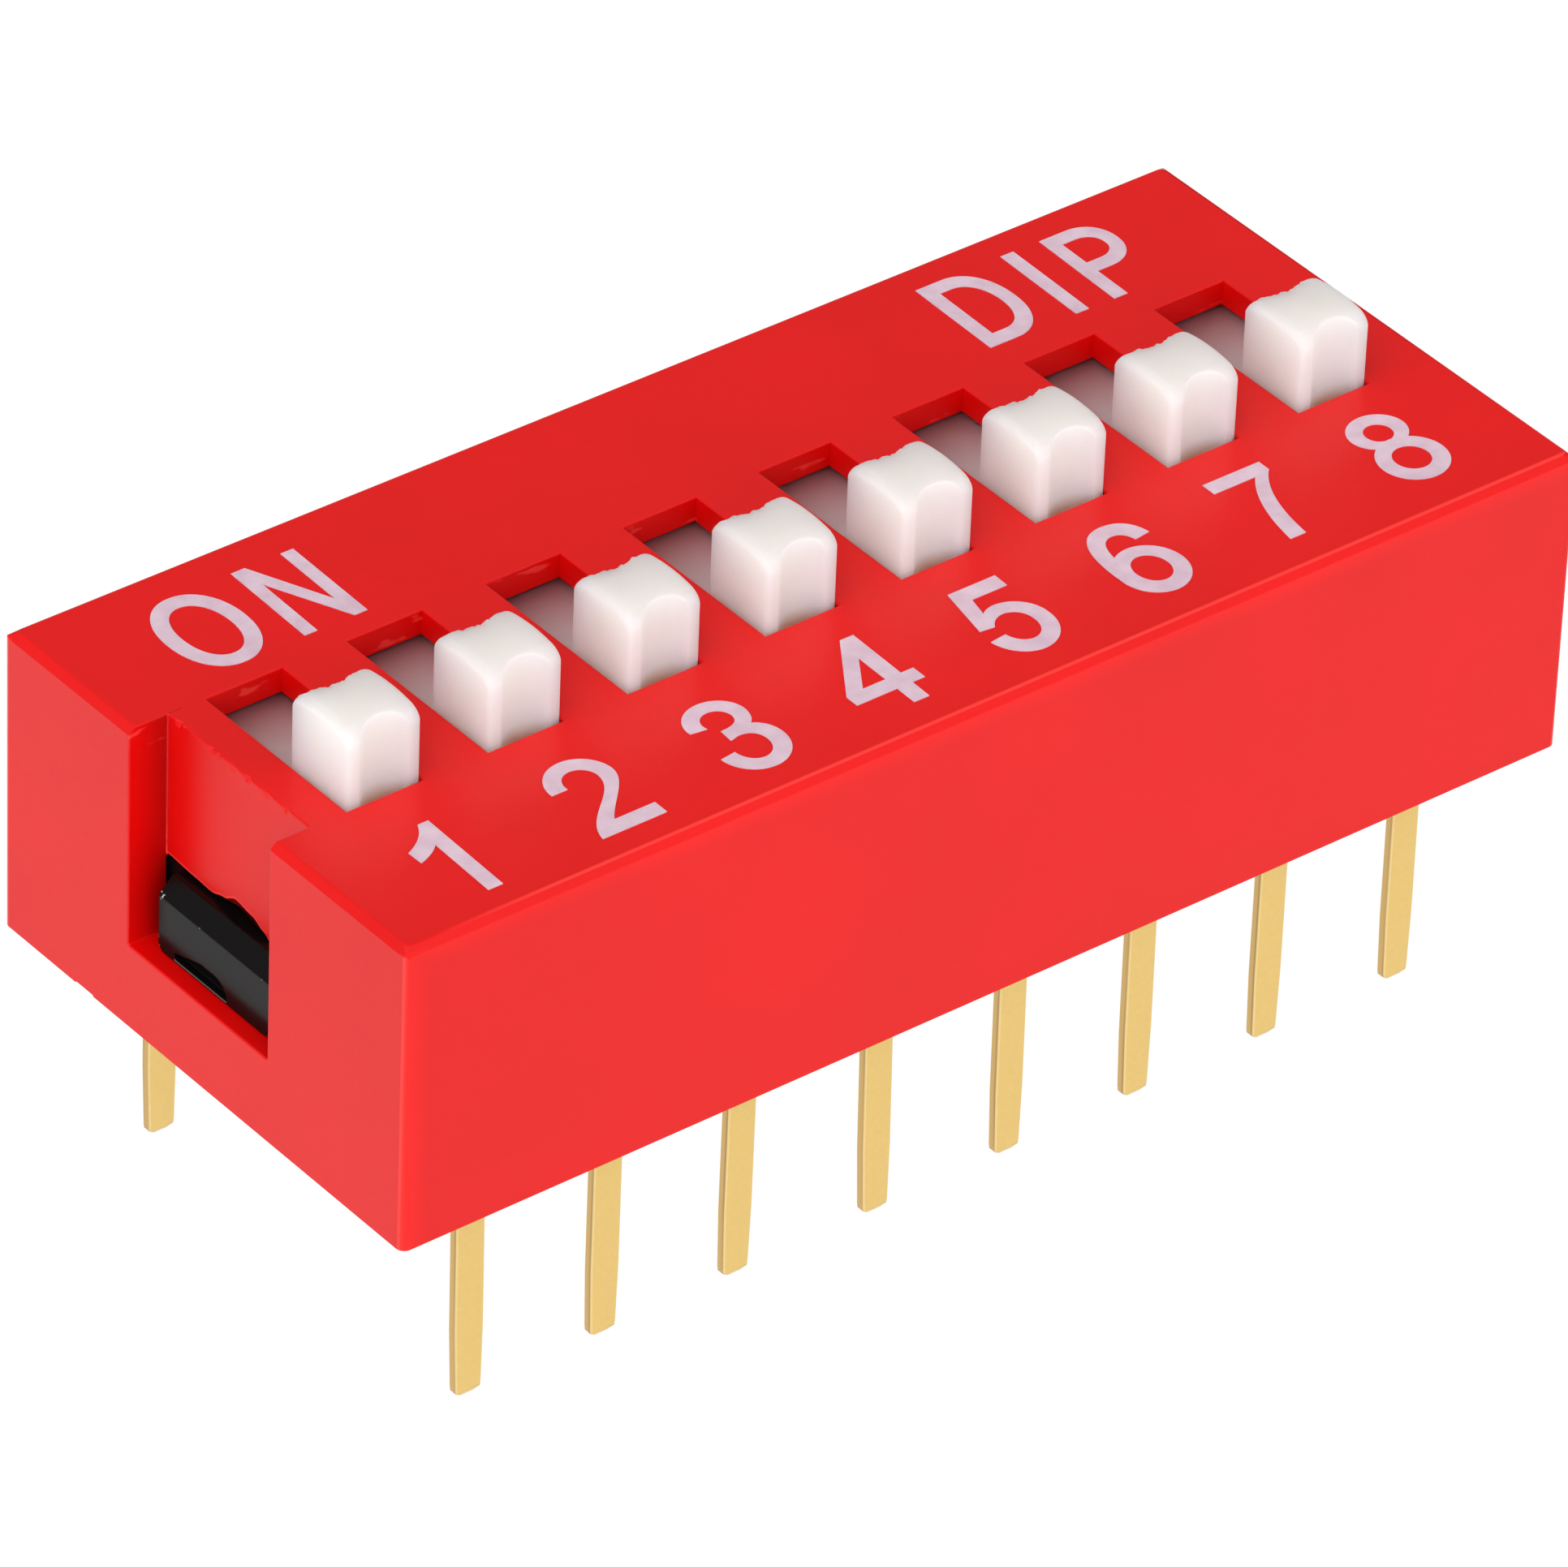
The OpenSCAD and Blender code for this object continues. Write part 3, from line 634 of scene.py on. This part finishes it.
class SWITCH_OT_base(bpy.types.Operator):
    """Base: the solid's faces, with the latch's edges finely rounded"""

    bl_idname = "switch.base"
    bl_label = "Base and latch"

    def execute(self, context):
        colours = context.scene.switch_colours

        def latch(p, low, high):
            return p.x < LATCH_X + 0.5

        # Painted highlight: the rounded lip under the latch's notch takes a grey black.
        def lip(p):
            return p.x < LATCH_X + 0.05 and 1.5 < p.z < 1.54 and -0.26 < p.y < 1.06

        bm = merged("base")
        round_edges(bm, 0.015, 3, latch, lip)
        materials = [moulded_black("moulded black PBT", colours.base),
                     moulded_black("thin black lip, painted highlight", linear("57514D"))]
        dressed_copy(bm, "base_moulding", materials, "black_base", "base")
        return {"FINISHED"}


def crown(y, half, radius=2.7, fillet=0.3):
    """Height of a knob's top below its peak at y: a crown arc, and a fillet tangent to it at each end."""
    y = np.abs(y)
    fy = half - fillet
    fz = math.sqrt((radius - fillet) ** 2 - fy**2)
    arc = np.sqrt(radius**2 - y**2)
    end = fz + np.sqrt(np.maximum(fillet**2 - (y - fy) ** 2, 0))
    return np.where(y * fz > fy * arc, end, arc) - radius


def scoop(x, width=0.86, depth=0.22, soft=0.02):
    """How far a knob's end face lies back at x: a cylinder's arc with softened rims."""
    r = (width**2 / 4 + depth**2) / (2 * depth)
    g = np.sqrt(np.maximum(r * r - x * x, 0)) - (r - depth)
    return 0.5 * (g + np.sqrt(g * g + soft * soft))


def knob_plan(back, corner):
    """A knob's outline with its scoops, brought in by back on the sides and END times that on the ends."""
    return ring(KNOB_X - back, KNOB_Y - END * back, corner, side=49, corner=5, dent=scoop)


def torn(xy, back, k):
    """Height of the torn rim of knob k's rear scoop over the plain surface at xy: a ripple of three sines
    that fades within 0.06 mm of the rear face, for an outline brought in by back as in knob_plan."""
    x, y = xy.T
    ripple = np.sin(23 * x + 2.1 * k) + 0.7 * np.sin(41 * x + 3.7 * k + 1) + 0.5 * np.sin(67 * x + 1.3 * k)
    rear = KNOB_Y - END * back - scoop(x)
    return 0.011 * ripple * np.exp(-(((rear - y) / 0.06) ** 2)) * (np.abs(x) < 0.56)


class SWITCH_OT_knobs(bpy.types.Operator):
    """Knobs: rings of the knob's plan climb from the flange, round over the edge and close on the crown"""

    bl_idname = "switch.knobs"
    bl_label = "Slide knobs"

    def execute(self, context):
        sizes, colours = context.scene.switch_sizes, context.scene.switch_colours
        material = white_nylon(colours)
        flange_low = FLANGE_TOP - FLANGE_T
        spring_low = flange_low - SPRING_T
        neck = ROOF + 0.45  # level rings below, rings that follow the crown above
        plan = knob_plan(0, sizes.knob_corner)
        # The rounding over the top edge: full on the long sides, slight on the ends and their scoops.
        side = np.clip((np.abs(plan[:, 0]) - KNOB_X + sizes.knob_corner) / sizes.knob_corner, 0, 1)
        edge = sizes.knob_edge * (END + (1 - END) * side**2)
        # Points inside the crown's outline, which the triangles of the lid run through.
        gx, gy = np.meshgrid(np.linspace(-0.5, 0.5, 23), np.linspace(-0.68, 0.68, 40))
        inside = (np.abs(gy) < KNOB_Y - scoop(gx) - 0.07) & (np.abs(gx) < KNOB_X - 0.16)
        for k in WAYS:
            low, high = (np.array(c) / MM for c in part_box(f"actuator_{k}"))
            mid, peak = (low + high)[:2] / 2, high[2]
            flange, boss, head = (
                ring(half_x, half_y, r, side=49, corner=5)
                for half_x, half_y, r in ((*(high - low)[:2] / 2, 0.1), (BOSS_R, BOSS_R, BOSS_R - 0.001),
                                          (HEAD_R, HEAD_R, HEAD_R - 0.001))
            )
            wall_top = peak + crown(plan[:, 1], KNOB_Y) - edge + torn(plan, 0, k)
            levels = [
                (head, spring_low - HEAD_H), (head, spring_low), (boss, spring_low), (boss, flange_low),
                (flange * 0.5 + boss * 0.5, flange_low), (inset(flange, 0.03), flange_low),
                (flange, flange_low + 0.03), (flange, FLANGE_TOP - 0.03), (inset(flange, 0.03), FLANGE_TOP),
                (flange * 0.4 + plan * 0.6, FLANGE_TOP), (inset(plan, -0.03), FLANGE_TOP),
            ]
            levels += [(plan, z) for z in np.linspace(FLANGE_TOP + 0.03, neck, 6)]
            levels += [(plan, neck + (wall_top - neck) * t) for t in (0.2, 0.4, 0.6, 0.8, 0.93, 1.0)]
            for a in np.radians(np.linspace(0, 90, 12)[1:]):
                back = sizes.knob_edge * (1 - math.cos(a))
                loop = knob_plan(back, sizes.knob_corner)
                over = peak + crown(loop[:, 1], KNOB_Y) - edge * (1 - math.sin(a))
                levels.append((loop, over + torn(loop, back, k)))
            rings = np.array([np.c_[loop + mid, np.broadcast_to(z, len(loop))] for loop, z in levels])
            verts, faces = wrap(rings, lid=False)
            flat, tris = fill([rings[-1][:, :2] - mid], np.c_[gx[inside], gy[inside]])
            over = peak + crown(flat[:, 1], KNOB_Y) + torn(flat, sizes.knob_edge, k)
            faces += (tris + len(verts)).tolist()
            verts = np.vstack([verts, np.c_[flat + mid, over]])
            weld(solid(f"knob_{k}", verts, faces, [material], f"slider_{k}", "white_knob", [f"actuator_{k}"]))
        return {"FINISHED"}


def strip_path(inner, side, end):
    """Centre line of a terminal from its pad's inner end, round the bend and down to the tip at height end,
    as points and the direction across the strip's thickness, in the plane of Y and Z of its own side."""
    bend_y, bend_z, mid_r = ROW_Y + LEG_T / 2 - BEND_R, PAD_TOP - BEND_R, BEND_R - LEG_T / 2
    pad = np.linspace(inner * side, bend_y - 0.02, 12)
    a = np.radians(np.linspace(90, 0, 8))
    taper_z = end + TAPER_L
    leg = np.r_[np.linspace(bend_z - 0.05, taper_z, 14), np.linspace(taper_z - 0.08, end, 16)]
    y = np.r_[pad, bend_y + mid_r * np.cos(a), np.full(len(leg), ROW_Y)]
    z = np.r_[np.full(len(pad), PAD_TOP - LEG_T / 2), bend_z + mid_r * np.sin(a), leg]
    ny = np.r_[np.zeros(len(pad)), np.cos(a), np.ones(len(leg))]
    nz = np.r_[np.ones(len(pad)), np.sin(a), np.zeros(len(leg))]
    return y, z, ny, nz


class SWITCH_OT_pins(bpy.types.Operator):
    """Terminals: a rounded strip section carried along pad, bend and pin, narrowing to a rounded tip"""

    bl_idname = "switch.pins"
    bl_label = "Terminals"

    def execute(self, context):
        sizes, colours = context.scene.switch_sizes, context.scene.switch_colours
        # The sheared sides take a darker gold as painted shade, and the rounded corners a paler gold as
        # painted highlight.
        materials = [
            gold_plate("gold plated strip", colours.gold, 0.0),
            gold_plate("gold plated sheared edge, painted shade", linear("D2AE6E"), 0.28),
            gold_plate("gold plated corner, painted highlight", linear("F2D594"), 0.0),
        ]
        # Material round each section: two steps of face, four of corner, two of side, four of corner, twice.
        around = np.tile([0, 0, 2, 2, 2, 2, 1, 1, 2, 2, 2, 2], 2)
        # How far each numbered pin stands off its place along X, where it leaves the base and by its tip, as
        # pins do once they have been handled.
        off_place = ((0.0, 0.04), (-0.01, -0.016), (-0.06, -0.075), (-0.055, 0.035), (-0.026, 0.022),
                     (-0.055, -0.02), (-0.03, -0.02), (0.03, 0.055))
        # Side of each row, Y of its pads' inner ends, and Z of its tips: the ON row is clipped shorter.
        rows = (("off", -1, 0.5, TIP, off_place), ("on", 1, 1.3, TIP + 0.16, ((0.0, 0.0),) * 8))
        for row, side, inner, end, leans in rows:
            y, z, ny, nz = strip_path(inner, side, end)
            # Half width: a wide pad, a short shoulder at Y 3.3, the pin, its taper and the rounded tip.
            shoulder = 1 / (1 + np.exp((y - 3.3) / 0.03))
            half = LEG_W / 2 + np.where(z < 2.9, 0, (PAD_W - LEG_W) / 2 * shoulder)
            half = np.where(z < end + TAPER_L, LEG_W / 2 - TAPER * (end + TAPER_L - z) / TAPER_L, half)
            tip = 1 - np.sqrt(1 - 0.999 * np.clip((end + 0.12 - z) / 0.12, 0, 1) ** 2)
            half, thick = half - 0.09 * tip, LEG_T / 2 - 0.05 * tip
            for k, (root_x, tip_x) in zip(WAYS, leans):
                # A pin starts to stand off 0.7 mm up inside the base, and does so in full from 0.1 mm up.
                freed = np.clip((0.7 - z) / 0.6, 0, 1)
                x = (k - 4.5) * PITCH + freed * (root_x + (tip_x - root_x) * np.clip(z / end, 0, 1))
                rings = []
                for n in range(len(y)):
                    u, v = ring(half[n], thick[n], sizes.pin_edge, 3, 3).T
                    rings.append(np.c_[x[n] + u, side * (y[n] + v * ny[n]), z[n] + v * nz[n]])
                verts, faces = wrap(np.array(rings))
                piece = solid(f"terminal_{row}_{k}", verts, faces, materials, "housing", "gold_pin",
                              [f"pin_{row}_{k}"])
                index = np.zeros(len(faces), np.int32)
                index[: len(around) * (len(y) - 1)] = np.tile(around, len(y) - 1)
                piece.data.polygons.foreach_set("material_index", index)
                weld(piece)
        return {"FINISHED"}


class SWITCH_OT_springs(bpy.types.Operator):
    """Contact springs: the solids themselves, in plated metal"""

    bl_idname = "switch.springs"
    bl_label = "Contact springs"

    def execute(self, context):
        metal = spring_bronze()
        for k in WAYS:
            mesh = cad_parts[f"contact_{k}"].data
            mesh.materials.clear()
            mesh.materials.append(metal)
        return {"FINISHED"}


# ---- lettering ----


def arc(cx, cy, rx, ry, a0, a1, n=40, p=2.0):
    """Points on a superellipse of power p about (cx, cy), from angle a0 to a1 in degrees."""
    a = np.radians(np.linspace(a0, a1, n))
    c, s = np.cos(a), np.sin(a)
    return np.c_[cx + rx * np.sign(c) * np.abs(c) ** (2 / p), cy + ry * np.sign(s) * np.abs(s) ** (2 / p)]


def bez(*points, n=16):
    """Points on the Bezier curve with these control points, by repeated halving between them."""
    t = np.linspace(0, 1, n)[:, None]
    p = [np.array(q, float) for q in points]
    while len(p) > 1:
        p = [(1 - t) * a + t * b for a, b in zip(p, p[1:])]
    return p[0]


def poly(*parts):
    """One closed outline from single points and lists of points, in order."""
    return np.vstack([np.atleast_2d(q) for q in parts])


def half_rings(o, i, p=2.0):
    """The band between two superellipses (cx, cy, rx, ry), as a left and a right half."""
    return [poly(arc(*o, a, b, p=p), arc(*i, b, a, p=p)) for a, b in ((90, 270), (-90, 90))]


def marks():
    """Outlines of ON, DIP and the numbers, in millimetres on the cover's top. A mark's shapes may overlap."""
    g = {}
    g["O"] = half_rings((-8.56, 3.18, 0.7, 0.97), (-8.56, 3.175, 0.43, 0.695), 2.15)
    g["N"] = [
        poly((-7.47, 2.24), (-7.24, 2.24), (-7.19, 4.14), (-7.42, 4.14)),
        poly((-6.56, 2.24), (-6.33, 2.24), (-6.29, 4.14), (-6.52, 4.14)),
        poly((-7.42, 4.14), (-7.17, 4.14), (-6.33, 2.24), (-6.56, 2.24)),
    ]
    g["D"] = [
        poly((5.49, 2.38), (5.75, 2.38), (5.79, 4.26), (5.53, 4.26)),
        poly((5.6, 2.38), arc(6.02, 3.32, 0.68, 0.94, -90, 90, p=2.2), (5.6, 4.26), (5.6, 3.98),
             arc(6.0, 3.325, 0.45, 0.655, 90, -90, p=2.2), (5.6, 2.67)),
    ]
    g["I"] = [poly((7.14, 2.36), (7.39, 2.36), (7.43, 4.25), (7.18, 4.25))]
    g["P"] = [
        poly((7.88, 2.35), (8.14, 2.35), (8.17, 4.24), (7.93, 4.24)),
        poly((8.0, 3.09), arc(8.42, 3.665, 0.58, 0.575, -90, 90, p=2.2), (8.0, 4.24), (8.0, 3.97),
             arc(8.42, 3.665, 0.34, 0.305, 90, -90, p=2.2), (8.0, 3.36)),
    ]
    g["1"] = [poly(
        (-8.77, -2.51), (-8.96, -2.51), bez((-8.96, -2.51), (-9.1, -2.83), (-9.48, -2.99)),
        (-9.47, -3.29), bez((-9.47, -3.29), (-9.2, -3.21), (-9.04, -3.05)), (-9.08, -4.36), (-8.82, -4.36),
    )]
    g["2"] = [poly(
        arc(-6.395, -3.02, 0.565, 0.56, 184, 0),
        bez((-5.83, -3.02), (-5.84, -3.37), (-6.32, -3.66), (-6.57, -4.03)), (-5.84, -4.03), (-5.84, -4.32),
        (-7.0, -4.32), bez((-7.0, -4.32), (-6.93, -3.75), (-6.11, -3.52), (-6.1, -3.02)),
        arc(-6.39, -3.02, 0.29, 0.3, 0, 188, 30),
    )]
    g["3"] = [poly(
        arc(-3.875, -2.93, 0.525, 0.47, 188, -10), bez((-3.358, -3.01), (-3.39, -3.19), (-3.5, -3.27)),
        bez((-3.5, -3.27), (-3.25, -3.41), (-3.25, -3.72)), arc(-3.835, -3.72, 0.585, 0.6, 0, -177),
        arc(-3.84, -3.71, 0.3, 0.35, -179, 0, 30), bez((-3.54, -3.71), (-3.55, -3.42), (-3.84, -3.42)),
        (-4.01, -3.46), (-3.99, -3.19), bez((-3.99, -3.19), (-3.62, -3.2), (-3.61, -2.95)),
        arc(-3.87, -2.95, 0.26, 0.245, 0, 200, 30),
    )]
    g["4"] = [
        poly((-1.16, -2.38), (-0.91, -2.38), (-0.955, -4.23), (-1.235, -4.23), (-1.21, -2.89)),
        poly((-1.72, -3.54), (-0.71, -3.54), (-0.71, -3.82), (-1.97, -3.82), (-1.97, -3.6)),
        poly((-1.16, -2.38), (-1.0, -2.38), (-1.0, -2.89), (-1.21, -2.89), (-1.65, -3.55), (-1.72, -3.7),
             (-1.97, -3.7), (-1.97, -3.57)),
    ]
    g["5"] = [poly(
        (0.86, -2.38), (1.75, -2.38), (1.74, -2.68), (1.08, -2.68), (0.99, -3.06),
        bez((0.99, -3.06), (1.09, -2.98), (1.24, -2.97)), arc(1.23, -3.55, 0.58, 0.58, 90, 0, 20),
        arc(1.215, -3.6, 0.595, 0.66, 0, -172), arc(1.225, -3.6, 0.305, 0.37, -171, 0, 30),
        arc(1.225, -3.545, 0.305, 0.325, 0, 90, 20), bez((1.225, -3.22), (1.03, -3.23), (0.92, -3.42)),
        (0.66, -3.39),
    )]
    g["6"] = half_rings((3.765, -3.59, 0.575, 0.62), (3.775, -3.57, 0.295, 0.35)) + [poly(
        bez((3.19, -3.5), (3.17, -2.31), (3.8, -2.31), n=24),
        bez((3.8, -2.31), (4.26, -2.31), (4.34, -2.81)), (4.05, -2.85),
        bez((4.05, -2.85), (4.01, -2.59), (3.8, -2.59)), bez((3.8, -2.59), (3.52, -2.6), (3.47, -3.12)),
        (3.4, -3.4),
    )]
    g["7"] = [poly(
        (5.76, -2.33), (6.85, -2.33), (6.85, -2.57),
        bez((6.85, -2.57), (6.35, -3.05), (6.235, -4.17), n=24), (5.94, -4.17),
        bez((5.94, -4.17), (6.08, -3.13), (6.55, -2.61), n=24), (5.76, -2.61),
    )]
    g["8"] = (half_rings((8.82, -2.74, 0.5, 0.45), (8.815, -2.775, 0.235, 0.235))
              + half_rings((8.815, -3.575, 0.575, 0.575), (8.81, -3.56, 0.3, 0.31)))
    return g


def film(outlines, z, thick):
    """A thin sheet over the union of closed outlines: their triangles, a copy below them and side walls."""
    p, t = fill(outlines)
    n = len(p)
    edges = {(int(i), int(j)) for a, b in ((0, 1), (1, 2), (2, 0)) for i, j in t[:, [a, b]]}
    walls = [[i + n, j + n, j, i] for i, j in edges if (j, i) not in edges]
    verts = np.vstack([np.c_[p, np.full(n, z + thick)], np.c_[p, np.full(n, z)]])
    return verts, t.tolist() + (t[:, ::-1] + n).tolist() + walls


class SWITCH_OT_lettering(bpy.types.Operator):
    """Print: ON, DIP and the numbers as thin sheets of ink on the cover's top"""

    bl_idname = "switch.lettering"
    bl_label = "Lettering"

    def execute(self, context):
        sizes, colours = context.scene.switch_sizes, context.scene.switch_colours
        ink = pad_ink(colours)
        for name, outlines in marks().items():
            verts, faces = film(outlines, ROOF + 0.001, sizes.ink)
            solid(f"print_{name}", verts, faces, [ink], "housing", "white_knob").data.shade_flat()
        return {"FINISHED"}


# ---- stage ----


class SWITCH_OT_stage(bpy.types.Operator):
    """Stage: a flat pale floor just under the pin tips, even studio light and the camera"""

    bl_idname = "switch.stage"
    bl_label = "Floor, light and camera"

    def execute(self, context):
        scene = context.scene
        scene.view_settings.view_transform = "Standard"

        # The camera and reflections see the table nearly white, and it keeps a little of the switch's shadow.
        table, tree = new_material("matt white table")
        path = add(tree, "LightPath").outputs
        seen = add(tree, "Math", (path["Is Camera Ray"], path["Is Glossy Ray"]), operation="MAXIMUM")
        most = add(tree, "Math", (seen, 0.97), operation="MULTIPLY")
        matt = add(tree, "BsdfDiffuse", {"Color": rgba("EEEEEE")})
        white = add(tree, "Emission", {"Color": (1, 1, 1, 1), "Strength": 1.03})
        add(tree, "OutputMaterial", {"Surface": add(tree, "MixShader", (most, matt, white))})
        # A flat grid of six by six squares, 1.2 m wide.
        n = 7
        u = np.linspace(-0.6, 0.6, n)
        x, y = np.meshgrid(u, u)
        verts = np.c_[x.ravel(), y.ravel(), np.full(x.size, TIP * MM - 0.00002)]
        j, i = np.meshgrid(np.arange(n - 1), np.arange(n - 1), indexing="ij")
        corner = (j * n + i).ravel()
        mesh = bpy.data.meshes.new("floor")
        mesh.from_pydata(verts.tolist(), [], np.c_[corner, corner + 1, corner + n + 1, corner + n].tolist())
        mesh.materials.append(table)
        floor = bpy.data.objects.new("floor", mesh)
        scene.collection.objects.link(floor)

        # A light tent: bright overhead, in front and to the left, and dim behind the switch.
        world = bpy.data.worlds.new("studio")
        scene.world = world
        world.use_nodes = True
        tree = world.node_tree
        tree.nodes.clear()
        way = add(tree, "TexCoord").outputs["Generated"]
        glow = 0.33
        for toward, power, strength in (((0.1, -0.93, 0.36), 4.0, 1.31), ((-0.7, -0.3, 0.65), 4.0, 2.1),
                                        ((0.2, 0.2, 0.96), 6.0, 0.19)):
            facing = add(tree, "VectorMath", (way, toward), operation="DOT_PRODUCT").outputs["Value"]
            lit = add(tree, "Math", (facing, 0.0), operation="MAXIMUM")
            lobe = add(tree, "Math", (lit, power), operation="POWER")
            glow = add(tree, "Math", (lobe, strength, glow), operation="MULTIPLY_ADD")
        room = add(tree, "Background", {"Color": (1, 1, 1, 1), "Strength": glow})
        white = add(tree, "Background", {"Color": (1, 1, 1, 1), "Strength": 1.0})
        add(tree, "OutputWorld", {"Surface": add(tree, "MixShader", (add(tree, "LightPath"), room, white))})

        lamp = bpy.data.lights.new("softbox", "AREA")
        lamp.shape = "SQUARE"
        lamp.size = 0.4
        lamp.energy = 0.1
        softbox = bpy.data.objects.new("softbox", lamp)
        softbox.location = (-0.30, -0.30, 0.44)
        away = np.array(softbox.location) - (0, 0, 0.003)
        softbox.rotation_euler = (math.acos(away[2] / np.linalg.norm(away)), 0, math.atan2(away[0], -away[1]))
        scene.collection.objects.link(softbox)

        # The camera looks down on the numbered side and the channel end, from 0.2 m away.
        lens = bpy.data.cameras.new("camera")
        lens.lens = 305.396
        lens.sensor_width = 36.0
        lens.clip_start = 0.01
        lens.clip_end = 10.0
        camera = bpy.data.objects.new("camera", lens)
        camera.location = (-0.1030005, -0.1252901, 0.1165939)
        camera.rotation_euler = tuple(math.radians(a) for a in (54.4727, -1.93366, -38.00317))
        scene.collection.objects.link(camera)
        scene.camera = camera
        return {"FINISHED"}


class SWITCH_PT_panel(bpy.types.Panel):
    """Lists the pieces in the order they are made"""

    bl_idname = "SWITCH_PT_panel"
    bl_label = "DIP switch"
    bl_space_type = "VIEW_3D"
    bl_region_type = "UI"
    bl_category = "Switch"

    def draw(self, context):
        for group in (context.scene.switch_sizes, context.scene.switch_colours):
            box = self.layout.box()
            for name in group.__annotations__:
                box.prop(group, name)
        for operator in OPERATORS:
            self.layout.operator(operator.bl_idname)


OPERATORS = (
    SWITCH_OT_stage,
    SWITCH_OT_cover,
    SWITCH_OT_base,
    SWITCH_OT_knobs,
    SWITCH_OT_pins,
    SWITCH_OT_springs,
    SWITCH_OT_lettering,
)
CLASSES = (SwitchSizes, SwitchColours, *OPERATORS, SWITCH_PT_panel)


def register():
    for c in CLASSES:
        bpy.utils.register_class(c)
    bpy.types.Scene.switch_sizes = PointerProperty(type=SwitchSizes)
    bpy.types.Scene.switch_colours = PointerProperty(type=SwitchColours)


def unregister():
    del bpy.types.Scene.switch_colours
    del bpy.types.Scene.switch_sizes
    for c in reversed(CLASSES):
        bpy.utils.unregister_class(c)


def main():
    register()
    for operator in OPERATORS:
        group, name = operator.bl_idname.split(".")
        getattr(getattr(bpy.ops, group), name)()


if __name__ == "__main__":
    main()
